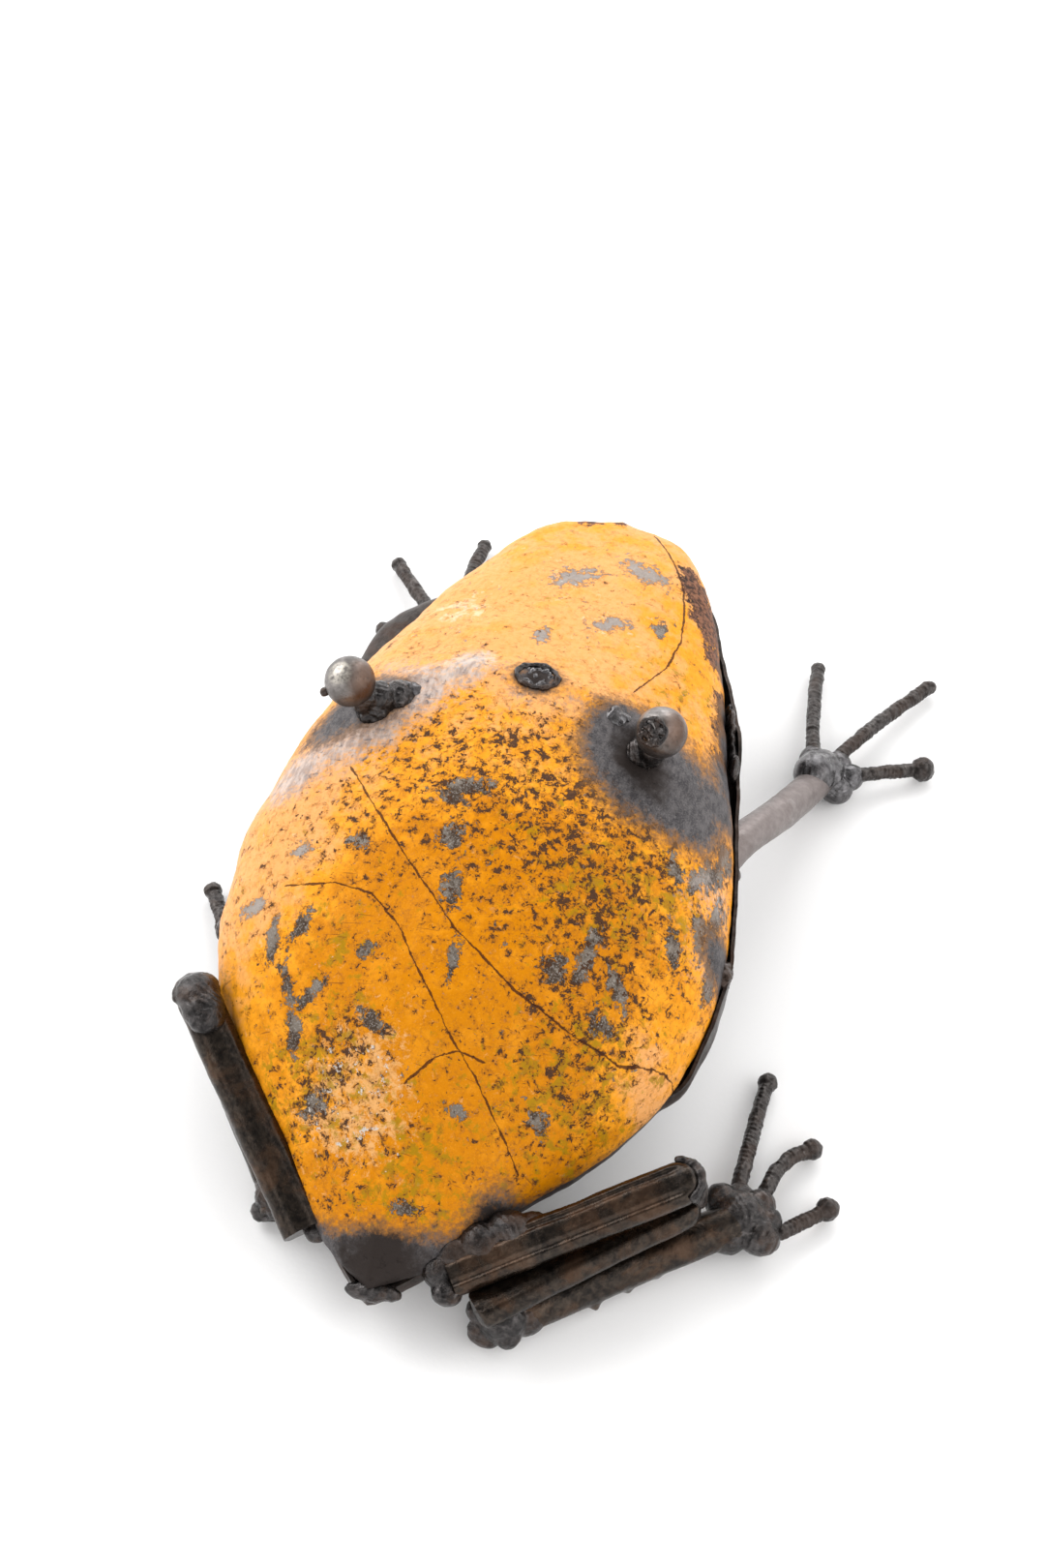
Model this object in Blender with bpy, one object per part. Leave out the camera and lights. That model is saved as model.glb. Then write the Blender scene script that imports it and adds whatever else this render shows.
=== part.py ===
"""Welded scrap-metal frog: a hammered drum-steel body in two shells, tube legs, rod toes and ball eyes.

Run it with: blender --background --python part.py
The frog faces -Y and stands on Z = 0. Places are written in millimetres as (right, forward, up),
seen from the frog itself, and turned into metres in the row frame by the function at().
"""

import math

import bmesh
import bpy
from mathutils import Matrix, Vector, noise
from mathutils.geometry import interpolate_bezier

MM = 0.001
GAP = 0.4  # clearance left between two pieces that are welded together
SHEET = 1.5  # drum sheet
ROD = 3.2  # radius of the 6 mm toe rod with its weld skin
TOE_STATIONS = 8  # sections along a toe rod
TOE_ROOT = 0.45  # a rod starts this far from the middle of its bead to its first visible point
TIP_ANGLES = (-50, -15, 20, 50, 75)  # latitudes of the sections round a toe's welded tip

# ---- body: plan outline and the three lengthwise profiles, in mm ----
BODY_CENTRE = (0.0, -60.0)  # right, forward
OUTLINE_POINTS = 52
DOME_RINGS = 8
BELLY_RINGS = 5
NOSE_TO_TAIL = [  # right half of the plan outline: (half width, forward)
    (0, 141), (33, 131), (56, 99), (75, 56), (91, 10), (104, -40), (108, -84),
    (101, -124), (80, -163), (50, -195), (25, -225), (0, -241),
]
SNOUT_SWING = 11.0  # the snout points this far to the right
TAIL, SNOUT = -241.0, 142.0
SEAM_TAIL, SEAM_SNOUT = 29.0, 86.0  # height of the seam at each end
CROWN = [(-241, 58), (-150, 112), (-60, 129), (4, 133), (60, 122), (142, 110)]  # (forward, height)
BELLY_DEPTH = 31.0
DOME_FULLNESS, BELLY_FULLNESS = 0.92, 0.8  # powers of the quarter-turn sections: 1 is a plain ellipse
RIM_SKIRT = 4.0  # depth of the upright edge of the belly shell
# The belly's rim, along each side: (forward, reach beyond the upper shell, height over its seam).
# It overlaps the right flank outside, is tucked inside the left flank, and drops to open the mouth.
RIM = {
    1: [(-241, 2.4, -1.6), (-225, -2.6, -1.6), (-140, -2.6, -1.6), (-122, 2.6, -1.6), (-104, 2.6, 5),
        (-20, 2.6, 6), (36, 6, 5), (85, 3, -4), (142, 2.4, -15)],
    -1: [(-241, 2.4, -1.6), (-225, -3, -1.6), (-200, -3, -1.6), (-172, -3.2, 6), (-120, -3.2, 6),
         (-95, -3, -1.6), (-60, -3, -1.6), (-32, 2.6, -1.6), (14, 4, -2), (64, 20, -9),
         (108, 3, -14), (142, 2.4, -15)],
}

# ---- legs: places of the joints, in mm ----
TUBE_WALL = 2.0
LEG_TUBE = (9.2, 6.4)  # half width and half thickness of the flattened leg tube
LEG_DISH = 0.28  # share of the thickness by which each broad face is dished
LEG_SQUARENESS = 0.8  # power of the section's width: 1 is a plain ellipse
FOOT_TUBE = 9.2
ARM_TUBE = 8.0
THIGH_TILT = 12  # degrees that the thigh's broad face is tipped outwards
HEEL_HEIGHT, ANKLE_HEIGHT, WRIST_HEIGHT = 13.0, 11.0, 9.5  # of the beads that it stands on
KNEE_WELD = (12, 8, 19)  # radii of the weld beads: across the leg, along it, upwards
ANKLE_WELD = (15, 15, 14.5)
WRIST_WELD = (12, 12, 12)
SHOULDER_WELD = (13, 14, 12)
BEAD_UNEVENNESS, BEAD_LUMPS = 0.14, 1.7  # how far a weld bead swells, and how many lumps it has across

HIND = {
    "right": {
        "hip": (31, -228, 32),
        "knee": (119, -172, 57),
        "shin_top": (120, -171, 36),
        "heel_top": (50, -232, 25),
        "heel": (54, -230, 10),
        "ankle": (137, -163, 14),
        "hip_weld": ((46, -208, 40), (9, 23, 9)),
        "shin_tilt": 12,
        "heel_weld": (15, 12, 16),
        "heel_open": False,
        "toes": {
            "inner": [(133, -148, 11), (133, -112, 8), (134, -86, 5)],
            "middle": [(143, -150, 11), (147, -133, 9), (153, -123, 7), (162, -115, 5)],
            "outer": [(148, -166, 9), (160, -156, 8), (174, -141, 6)],
        },
        "tips": {"inner": 4.4, "middle": 4.8, "outer": 5.2},
    },
    "left": {
        "hip": (-35, -218, 31),
        "knee": (-106, -142, 66),
        "shin_top": (-110, -130, 46),
        "heel_top": (-52, -201, 26),
        "heel": (-49, -207, 10),
        "ankle": (-89, -129, 14),
        "hip_weld": ((-35, -214, 37), (8, 14, 8)),
        "shin_tilt": 30,
        "heel_weld": (12, 9, 14),
        "heel_open": True,
        "toes": {
            "inner": [(-82, -111, 11), (-82, -80, 8), (-79, -54, 5)],
            "middle": [(-91, -110, 11), (-98, -82, 8), (-101, -48, 5)],
            "outer": [(-101, -114, 10), (-120, -74, 8), (-134, -52, 5)],
        },
        "tips": {"inner": 4.4, "middle": 4.4, "outer": 4.0},
    },
}

FRONT = {
    "right": {
        "arm": [(91, -22, 50), (98, 0, 49), (111, 34, 33), (120, 62, 19), (124, 76, 14)],
        "wrist": (125, 79, 13),
        "toes": {
            "inner": [(117, 94, 11), (112, 122, 8), (109, 150, 5)],
            "middle": [(131, 94, 11), (146, 122, 8), (165, 152, 5)],
            "outer": [(139, 83, 10), (155, 91, 8), (174, 100, 6)],
        },
        "tips": {"inner": 4.2, "middle": 4.4, "outer": 5.7},
    },
    "left": {
        "arm": [(-92, -22, 50), (-92, 6, 47), (-85, 60, 32), (-74, 98, 18), (-71, 108, 14)],
        "wrist": (-70, 112, 13),
        "toes": {
            "inner": [(-68, 126, 11), (-70, 158, 8), (-69, 187, 5)],
            "middle": [(-78, 124, 11), (-93, 143, 8), (-110, 163, 5)],
            "outer": [(-82, 114, 10), (-94, 114, 8), (-106, 116, 6)],
        },
        "tips": {"inner": 4.2, "middle": 4.4, "outer": 4.6},
    },
}

# ---- head ----
EYE_BALL = 11.0
EYES = {
    "right": {"ball": (64, -17, 137), "foot": (53, -13, 110), "bead": (41, -3, 123), "seed": 17},
    "left": {"ball": (-69, -24, 137), "foot": (-56, -20, 108), "bead": (-48, -10, 122), "seed": 19},
}
EYE_STEM = 5.5
EYE_COLLAR, EYE_BEAD = (13, 12, 9), (6, 5, 4.5)  # radii of the weld round the stem and of the bead by it
COLLAR_RISE = 0.28  # how far up the stem the weld collar sits
PUPIL = {"right": (6.4, 1.3), "left": (3.0, 2.2)}  # radius and height of the weld stud on the ball
PUPIL_FACING = {"right": (-0.22, -0.65, 0.73), "left": (-0.81, -0.53, -0.24)}
BROW_PLUG = (5, 5)  # right, forward
BROW_RING = (6.8, 1.6)  # radius of the ring and of its wire
BROW_SINK = 4.0  # the shell lies this far under the crown line there
BROW_SLOPE = -0.08  # the ring leans towards the snout by this much for 1 up
PLUG_DEPTH, PLUG_HEIGHT = 3.0, 3.6  # the plug starts this far under the ring's middle, and is this high

# ---- weld tacks along the seam: (right, forward, up), radii ----
SEAM_TACKS = {
    "tack_mouth_right": ((88, 38, 73), (4, 20, 8)),
    "tack_mouth_left": ((-103, -48, 60), (5, 8, 6)),
    "tack_flank_right": ((108, -75, 56), (5, 9, 7)),
    "tack_flank_left": ((-106, -100, 48), (5, 9, 6)),
    "tack_tail": ((2, -242, 27), (10, 4, 6)),
}

COLOURS = {  # base colour, roughness, metallic
    "yellow_paint": ((0.86, 0.42, 0.05), 0.45, 0.0),
    "dark_sheet": ((0.10, 0.085, 0.08), 0.55, 0.6),
    "leg_tube": ((0.085, 0.07, 0.065), 0.42, 0.7),
    "toe_rod": ((0.08, 0.075, 0.075), 0.6, 0.6),
    "weld_metal": ((0.12, 0.115, 0.12), 0.45, 0.8),
    "ball_steel": ((0.30, 0.28, 0.27), 0.38, 0.9),
}


# ---------------------------------------------------------------- helpers
def at(right, forward, up):
    return Vector((-right, -forward, up)) * MM


def material(name):
    found = bpy.data.materials.get(name)
    if found:
        return found
    colour, roughness, metallic = COLOURS[name]
    made = bpy.data.materials.new(name)
    made.use_nodes = True
    shader = made.node_tree.nodes["Principled BSDF"]
    shader.inputs["Base Color"].default_value = (*colour, 1)
    shader.inputs["Roughness"].default_value = roughness
    shader.inputs["Metallic"].default_value = metallic
    made.diffuse_color = (*colour, 1)
    return made


def add(name, bm, look, parent):
    """One named object from a bmesh that is drawn in world metres; its origin goes to its middle."""
    bmesh.ops.recalc_face_normals(bm, faces=bm.faces)
    if bm.calc_volume(signed=True) < 0:
        bmesh.ops.reverse_faces(bm, faces=bm.faces)
    middle = sum((v.co for v in bm.verts), Vector()) / len(bm.verts)
    bmesh.ops.translate(bm, verts=bm.verts, vec=-middle)
    mesh = bpy.data.meshes.new(name)
    bm.to_mesh(mesh)
    bm.free()
    mesh.shade_smooth()
    mesh.set_sharp_from_angle(angle=math.radians(40))
    obj = bpy.data.objects.new(name, mesh)
    bpy.context.scene.collection.objects.link(obj)
    obj.location = middle
    obj.parent = parent
    if look:
        mesh.materials.append(material(look))
    return obj


def cutter(obj):
    obj.hide_render = True
    obj.display_type = "WIRE"
    return obj


def cut(obj, *tools):
    for tool in tools:
        bite = obj.modifiers.new("cut_" + tool.name, "BOOLEAN")
        bite.operation = "DIFFERENCE"
        bite.object = tool


def keep_one_body(obj):
    """Bakes an object's cuts, and drops the crumbs that they leave beside its main body."""
    bpy.context.view_layer.update()
    baked = bpy.data.meshes.new_from_object(obj.evaluated_get(bpy.context.evaluated_depsgraph_get()))
    bm = bmesh.new()
    bm.from_mesh(baked)
    bodies, seen = [], set()
    for start in bm.verts:
        if start in seen:
            continue
        body, edge = {start}, [start]
        while edge:
            near = {e.other_vert(v) for v in edge for e in v.link_edges} - body
            body |= near
            edge = list(near)
        seen |= body
        bodies.append(body)
    bodies.sort(key=len)
    bmesh.ops.delete(bm, geom=[v for body in bodies[:-1] for v in body], context="VERTS")
    bm.to_mesh(baked)
    bm.free()
    obj.modifiers.clear()
    obj.data = baked


def curve_through(points, steps):
    """A smooth line through the points, as vectors, with this many steps in each stretch."""
    points = [Vector(p) for p in points]
    ends = [2 * points[0] - points[1], *points, 2 * points[-1] - points[-2]]
    line = []
    for before, a, b, after in zip(ends, ends[1:], ends[2:], ends[3:]):
        line += interpolate_bezier(a, a + (b - before) / 6, b - (after - a) / 6, b, steps + 1)[:-1]
    return [*line, points[-1]]


def evenly(line, count):
    """The same line with this many points, an equal length apart."""
    lengths = [0.0]
    for a, b in zip(line, line[1:]):
        lengths.append(lengths[-1] + (b - a).length)
    spaced, k = [], 0
    for i in range(count):
        want = lengths[-1] * i / (count - 1)
        while k < len(line) - 2 and lengths[k + 1] < want:
            k += 1
        share = (want - lengths[k]) / max(lengths[k + 1] - lengths[k], 1e-9)
        spaced.append(line[k].lerp(line[k + 1], min(max(share, 0), 1)))
    return spaced


def profile(points, x):
    """Height at x on a line of (x, height) points, eased between them."""
    for (xa, za), (xb, zb) in zip(points, points[1:]):
        if x <= xb:
            share = min(max((x - xa) / (xb - xa), 0), 1)
            return za + (zb - za) * share
    return points[-1][1]


def bump(x, centre, half):
    """1 at the centre, falling smoothly to 0 at centre +- half."""
    t = min(abs(x - centre) / half, 1)
    return (1 - t * t) ** 2


# ---------------------------------------------------------------- body
def plan_outline():
    """The body's closed plan outline, counter-clockwise from the snout, as 2-D vectors in mm."""
    half = curve_through([(x, y, 0) for x, y in NOSE_TO_TAIL], 8)
    other = [Vector((-p.x, p.y, 0)) for p in reversed(half)]
    ring = evenly([*half, *other[1:]], OUTLINE_POINTS + 1)[:-1]
    for p in ring:
        p.x += SNOUT_SWING * max(0, (p.y - 20) / (SNOUT - 20))
    return ring


def seam_height(forward):
    share = (forward - TAIL) / (SNOUT - TAIL)
    return SEAM_TAIL + (SEAM_SNOUT - SEAM_TAIL) * share


def dome_point(edge, theta):
    """A point of the upper shell, theta 0 at the crown and a quarter turn at the seam."""
    centre = Vector((*BODY_CENTRE, 0))
    p = centre.lerp(edge, math.sin(theta))
    seam = seam_height(edge.y) * math.sin(theta) + seam_height(p.y) * (1 - math.sin(theta))
    height = seam + (profile(CROWN, p.y) - seam) * math.cos(theta) ** DOME_FULLNESS
    return at(p.x, p.y, height)


def belly_rim(edge):
    """How far the belly's rim stands outside the outline at this place, and how high over the seam."""
    keys = RIM[1 if edge.x > SNOUT_SWING * max(edge.y, 0) / SNOUT else -1]
    for (ya, *first), (yb, *second) in zip(keys, keys[1:]):
        if edge.y <= yb:
            break
    share = min(max((edge.y - ya) / (yb - ya), 0), 1)
    ease = share * share * (3 - 2 * share)
    return [u + (v - u) * ease for u, v in zip(first, second)]


def belly_point(edge, outward, theta, skirt=RIM_SKIRT):
    """A point of the belly shell, theta 0 under its upright edge and a quarter turn at the middle."""
    centre = Vector((*BODY_CENTRE, 0))
    reach, lift = belly_rim(edge)
    p = centre.lerp(edge + outward * reach, math.cos(theta))
    seam = seam_height(edge.y) * math.cos(theta) + seam_height(BODY_CENTRE[1]) * (1 - math.cos(theta))
    top = (lift if skirt == 0 else min(lift, 0) - skirt) * math.cos(theta)
    return at(p.x, p.y, seam + top - BELLY_DEPTH * math.sin(theta) ** BELLY_FULLNESS)


def outward_of(ring, i):
    along = (ring[(i + 1) % len(ring)] - ring[i - 1]).normalized()
    out = Vector((along.y, -along.x, 0))
    return out if out.dot(ring[i] - Vector((*BODY_CENTRE, 0))) > 0 else -out


def skin(rings, pole, closing=None):
    """A surface of closed rings that ends in a pole, with a second pole that closes it if one is given."""
    bm = bmesh.new()
    rows = [[bm.verts.new(p) for p in ring] for ring in rings]
    n = len(rings[0])
    for a, b in zip(rows, rows[1:]):
        for i in range(n):
            bm.faces.new((a[i], a[(i + 1) % n], b[(i + 1) % n], b[i]))
    for row, tip in ((rows[-1], pole), (rows[0], closing)):
        if tip is None:
            continue
        peak = bm.verts.new(tip)
        for i in range(n):
            bm.faces.new((row[i], row[(i + 1) % n], peak))
    return bm


def dome_rings(edges):
    turns = [math.pi / 2 * (1 - k / DOME_RINGS) for k in range(DOME_RINGS)]
    return [[dome_point(e, t) for e in edges] for t in turns]


def belly_rings(edges):
    outs = [outward_of(edges, i) for i in range(len(edges))]
    pairs = list(zip(edges, outs))
    turns = [math.pi / 2 * k / BELLY_RINGS for k in range(BELLY_RINGS)]
    lip = [belly_point(e, o, 0, skirt=0) for e, o in pairs]
    return [lip] + [[belly_point(e, o, t) for e, o in pairs] for t in turns]


def thicken(obj):
    sheet = obj.modifiers.new("sheet", "SOLIDIFY")
    sheet.thickness = SHEET * MM
    sheet.offset = -1
    sheet.use_even_offset = False


def grow(obj):
    """Moves a cutter's skin outwards by the welding clearance."""
    swell = obj.modifiers.new("clearance", "DISPLACE")
    swell.strength = GAP * MM
    swell.mid_level = 0


def build_body(root):
    edges = plan_outline()
    crown = dome_point(edges[0], 0)
    keel = belly_point(edges[0], Vector((0, 1, 0)), math.pi / 2)
    back = add("back_shell", skin(dome_rings(edges), crown), "yellow_paint", root)
    belly = add("belly_shell", skin(belly_rings(edges), keel), "dark_sheet", root)
    for shell, up in ((back, 1), (belly, -1)):
        outermost = max(shell.data.polygons, key=lambda f: f.normal.z * up)
        if outermost.normal.z * up < 0.5:
            shell.data.flip_normals()
        thicken(shell)
    seam = seam_height(BODY_CENTRE[1])
    below, above = at(*BODY_CENTRE, seam - BELLY_DEPTH / 2), at(*BODY_CENTRE, seam + BELLY_DEPTH)
    back_rings, belly_lines = dome_rings(edges), belly_rings(edges)
    edge_room = Vector((0, 0, SHEET * MM))
    back_rings.insert(0, [p - edge_room for p in back_rings[0]])
    belly_lines.insert(0, [p + edge_room for p in belly_lines[0]])
    back_room = cutter(add("back_room", skin(back_rings, crown, below), None, root))
    belly_room = cutter(add("belly_room", skin(belly_lines, keel, above), None, root))
    grow(back_room)
    grow(belly_room)
    return back_room, belly_room


# ---------------------------------------------------------------- swept pieces
def circle(radius, sides=12):
    turns = [2 * math.pi * k / sides for k in range(sides)]
    return [(radius * math.cos(t), radius * math.sin(t)) for t in turns]


def dished_oval(half_width, half_thickness, sides=16):
    """A pipe hammered flat: round edges, with both broad faces dished."""
    section = []
    for k in range(sides):
        t = 2 * math.pi * (k + 0.5) / sides
        x = half_width * math.copysign(abs(math.cos(t)) ** LEG_SQUARENESS, math.cos(t))
        dish = 1 - LEG_DISH * bump(x, 0, half_width * LEG_SQUARENESS)
        section.append((x, half_thickness * math.sin(t) * dish))
    return section


def frames(path, upward):
    """Tangent, side and up vectors along a path."""
    found = []
    for i, p in enumerate(path):
        ahead = (path[min(i + 1, len(path) - 1)] - path[max(i - 1, 0)]).normalized()
        side = ahead.cross(upward).normalized()
        found.append((p, side, side.cross(ahead)))
    return found


def sweep(path, section, scales=None, bore=None, upward=Vector((0, 0, 1))):
    """A bar along a path: the section at each point, scaled, with a bore section if it is a tube."""
    scales = scales or [1] * len(path)
    bm = bmesh.new()
    places = frames(path, upward)

    def rows(shape):
        return [
            [bm.verts.new(p + (side * x * s + up * y * s) * MM) for x, y in shape]
            for (p, side, up), s in zip(places, scales)
        ]

    def walls(lines):
        n = len(lines[0])
        for a, b in zip(lines, lines[1:]):
            for i in range(n):
                bm.faces.new((a[i], a[(i + 1) % n], b[(i + 1) % n], b[i]))

    outer = rows(section)
    walls(outer)
    if bore is None:
        for end in (outer[0], outer[-1]):
            bm.faces.new(end)
        return bm
    inner = rows(bore)
    walls(inner)
    n = len(section)
    for a, b in ((outer[0], inner[0]), (outer[-1], inner[-1])):
        for i in range(n):
            bm.faces.new((a[i], a[(i + 1) % n], b[(i + 1) % n], b[i]))
    return bm


def toe(name, points, tip, root):
    """A rod with a round, welded-up end."""
    line = evenly(curve_through([at(*p) for p in points], 6), TOE_STATIONS)
    last, ahead = line[-1], (line[-1] - line[-2]).normalized()
    angles = [math.radians(a) for a in TIP_ANGLES]
    tip_length = tip * MM * (1 - math.sin(angles[0]))
    line = [p for p in line if (last - p).length > tip_length + ROD / 2 * MM]
    scales = [1.0] * len(line)
    for a in angles:
        line.append(last + ahead * tip * MM * (math.sin(a) - 1))
        scales.append(max(tip * math.cos(a), ROD if a < 0 else 0) / ROD)
    return add(name, sweep(line, circle(ROD, 8), scales), "toe_rod", root)


def lump(centre, radii, seed, detail=2, flat=False, yaw=0.0, rise=Vector((0, 0, 1))):
    """A bead of weld metal: an uneven ball along the rise direction, cut flat where it meets the ground."""
    bm = bmesh.new()
    bmesh.ops.create_icosphere(bm, subdivisions=detail, radius=1)
    turn = Vector((0, 0, 1)).rotation_difference(rise).to_matrix() @ Matrix.Rotation(yaw, 3, "Z")
    for v in bm.verts:
        swell = 1 + BEAD_UNEVENNESS * noise.noise(v.co * BEAD_LUMPS + Vector((seed * 3.1, seed * 1.7, 0)))
        local = Vector((v.co.x * radii[0], v.co.y * radii[1], v.co.z * radii[2])) * swell
        v.co = at(*centre) + turn @ local * MM
        if flat:
            v.co.z = max(v.co.z, 0)
    return bm


def weld(name, centre, radii, seed, root, rooms=(), **shape):
    """A weld bead, cut by what it is laid against, and a wider copy that makes room for it elsewhere."""
    bead = add(name, lump(centre, radii, seed, **shape), "weld_metal", root)
    if rooms:
        cut(bead, *rooms)
        keep_one_body(bead)
    wide = [r + GAP for r in radii]
    copy = lump(centre, wide, seed, **{**shape, "flat": False})
    return cutter(add(name + "_room", copy, None, root))


def heading(a, b):
    """The turn about the vertical that brings local +Y onto the line from a to b."""
    run = at(*b) - at(*a)
    return math.atan2(-run.x, run.y)


# ---------------------------------------------------------------- legs
def bar(name, line, outer, bore, root, upward=Vector((0, 0, 1))):
    """A tube open at both ends, and the solid space that it fills, with clearance."""
    tube = add(name, sweep(line, outer, bore=bore, upward=upward), "leg_tube", root)
    first, last = (line[0] - line[1]).normalized(), (line[-1] - line[-2]).normalized()
    long_line = [line[0] + first * GAP * MM, *line[1:-1], line[-1] + last * GAP * MM]
    fat = [(x + math.copysign(GAP, x), y + math.copysign(GAP, y)) for x, y in outer]
    room = cutter(add(name + "_room", sweep(long_line, fat, upward=upward), None, root))
    return tube, room


def leg_tube(name, a, b, root, tilt):
    """A flattened tube between two places, its broad face turned up and tipped by tilt degrees."""
    a, b = at(*a), at(*b)
    upward = Matrix.Rotation(math.radians(tilt), 3, (b - a).normalized()) @ Vector((0, 0, 1))
    width, thick = LEG_TUBE
    outer = dished_oval(width, thick)
    bore = dished_oval(width - TUBE_WALL, thick - TUBE_WALL)
    return bar(name, [a, b], outer, bore, root, upward)


def round_tube(name, line, radius, root):
    return bar(name, line, circle(radius), circle(radius - TUBE_WALL), root)


def toes(prefix, side, leg, bead_at, joint, root):
    """Three rods that start inside the bead, which cuts them off at its surface."""
    for name, points in leg["toes"].items():
        buried = [b + (p - b) * TOE_ROOT for b, p in zip(bead_at, points[0])]
        rod = toe(f"{prefix}_toe_{name}_{side}", [buried, *points], leg["tips"][name], root)
        cut(rod, joint)


def hind_leg(side, body_rooms, root):
    """A leg folded like a Z: thigh out and forward, shin back under it, foot forward on the ground."""
    leg = HIND[side]
    out = 1 if side == "right" else -1
    thigh, thigh_room = leg_tube(f"thigh_{side}", leg["hip"], leg["knee"], root, THIGH_TILT * out)
    shin, shin_room = leg_tube(f"shin_{side}", leg["shin_top"], leg["heel_top"], root, leg["shin_tilt"])
    foot, foot_room = round_tube(f"foot_{side}", [at(*leg["heel"]), at(*leg["ankle"])], FOOT_TUBE, root)
    along = heading(leg["hip"], leg["knee"])
    rooms = (*body_rooms, thigh_room, shin_room)
    weld(f"hip_weld_{side}", *leg["hip_weld"], 8 + out, root, rooms, yaw=along)
    knee_at = [(a + b) / 2 for a, b in zip(leg["knee"], leg["shin_top"])]
    rise = at(*leg["knee"]) - at(*leg["shin_top"])
    weld(f"knee_weld_{side}", knee_at, KNEE_WELD, 1 + out, root, rooms, yaw=along, rise=rise)
    heel_at = [(a + b) / 2 for a, b in zip(leg["heel"], leg["heel_top"])]
    heel_at[2] = HEEL_HEIGHT
    rooms = (*body_rooms, thigh_room, *((foot_room,) if leg["heel_open"] else ()))
    heel = weld(f"heel_weld_{side}", heel_at, leg["heel_weld"], 3 + out, root, rooms, flat=True, yaw=along)
    ankle_at = (*leg["ankle"][:2], ANKLE_HEIGHT)
    ankle = weld(f"ankle_weld_{side}", ankle_at, ANKLE_WELD, 5 + out, root, body_rooms, flat=True, detail=3)
    cut(thigh, *body_rooms)
    cut(shin, heel, thigh_room, foot_room, *body_rooms)
    cut(foot, ankle)
    if not leg["heel_open"]:
        cut(foot, heel)
    toes("hind", side, leg, ankle_at, ankle, root)


def front_leg(side, body_rooms, root):
    leg = FRONT[side]
    out = 1 if side == "right" else -1
    line = evenly(curve_through([at(*p) for p in leg["arm"]], 6), 6)
    arm, _ = round_tube(f"arm_{side}", line, ARM_TUBE, root)
    wrist_at = (*leg["wrist"][:2], WRIST_HEIGHT)
    wrist = weld(f"wrist_weld_{side}", wrist_at, WRIST_WELD, 11 + out, root, flat=True, detail=3)
    shoulder = weld(f"shoulder_weld_{side}", leg["arm"][0], SHOULDER_WELD, 14 + out, root, body_rooms)
    cut(arm, wrist, shoulder, *body_rooms)
    toes("front", side, leg, wrist_at, wrist, root)


# ---------------------------------------------------------------- head
def ball(centre, radius):
    bm = bmesh.new()
    bmesh.ops.create_icosphere(bm, subdivisions=3, radius=radius * MM)
    bmesh.ops.translate(bm, verts=bm.verts, vec=centre)
    return bm


def disc(centre, facing, radius, height, sides=14):
    line = [centre, centre + facing * height * MM]
    return sweep(line, circle(radius, sides), upward=facing.orthogonal())


def eye(side, body_rooms, root):
    """A steel ball on a short stem, in a collar of weld, with a weld stud for a pupil."""
    spec = EYES[side]
    centre, foot = at(*spec["ball"]), at(*spec["foot"])
    add(f"eye_ball_{side}", ball(centre, EYE_BALL), "ball_steel", root)
    ball_room = cutter(add(f"eye_ball_{side}_room", ball(centre, EYE_BALL + GAP), None, root))
    stem = disc(foot, (centre - foot).normalized(), EYE_STEM, (centre - foot).length / MM)
    cut(add(f"eye_stem_{side}", stem, "weld_metal", root), ball_room, *body_rooms)
    wide_stem = disc(foot, (centre - foot).normalized(), EYE_STEM + GAP, (centre - foot).length / MM)
    stem_room = cutter(add(f"eye_stem_{side}_room", wide_stem, None, root))
    collar_at = [f + (c - f) * COLLAR_RISE for f, c in zip(spec["foot"], spec["ball"])]
    rooms = (*body_rooms, ball_room, stem_room)
    collar = weld(f"eye_weld_{side}", collar_at, EYE_COLLAR, spec["seed"], root, rooms, detail=3)
    weld(f"eye_bead_{side}", spec["bead"], EYE_BEAD, spec["seed"] + 4, root, (*body_rooms, collar))
    right, forward, up = PUPIL_FACING[side]
    facing = at(right, forward, up).normalized()
    radius, height = PUPIL[side]
    stud = disc(centre + facing * EYE_BALL * 0.5 * MM, facing, radius, EYE_BALL * 0.5 + height)
    cut(add(f"eye_stud_{side}", stud, "weld_metal", root), ball_room)


def brow(body_rooms, root):
    """The drum's plugged hole between the eyes: a disc of weld inside a raised ring."""
    right, forward = BROW_PLUG
    radius, wire = BROW_RING
    centre = at(right, forward, profile(CROWN, forward) - BROW_SINK)
    slope = Vector((0, BROW_SLOPE, 1)).normalized()
    turn = Vector((0, 0, 1)).rotation_difference(slope).to_matrix()
    bm = bmesh.new()
    rows = []
    for a in [2 * math.pi * k / 16 for k in range(16)]:
        out = Vector((math.cos(a), math.sin(a), 0))
        edge = [out * (radius + x) + Vector((0, 0, y)) for x, y in circle(wire, 8)]
        rows.append([bm.verts.new(centre + turn @ p * MM) for p in edge])
    for a, b in zip(rows, rows[1:] + rows[:1]):
        for i in range(8):
            bm.faces.new((a[i], a[(i + 1) % 8], b[(i + 1) % 8], b[i]))
    cut(add("brow_ring", bm, "weld_metal", root), *body_rooms)
    plug = disc(centre - slope * PLUG_DEPTH * MM, slope, radius - wire - GAP, PLUG_HEIGHT)
    cut(add("brow_plug", plug, "weld_metal", root), *body_rooms)


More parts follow.
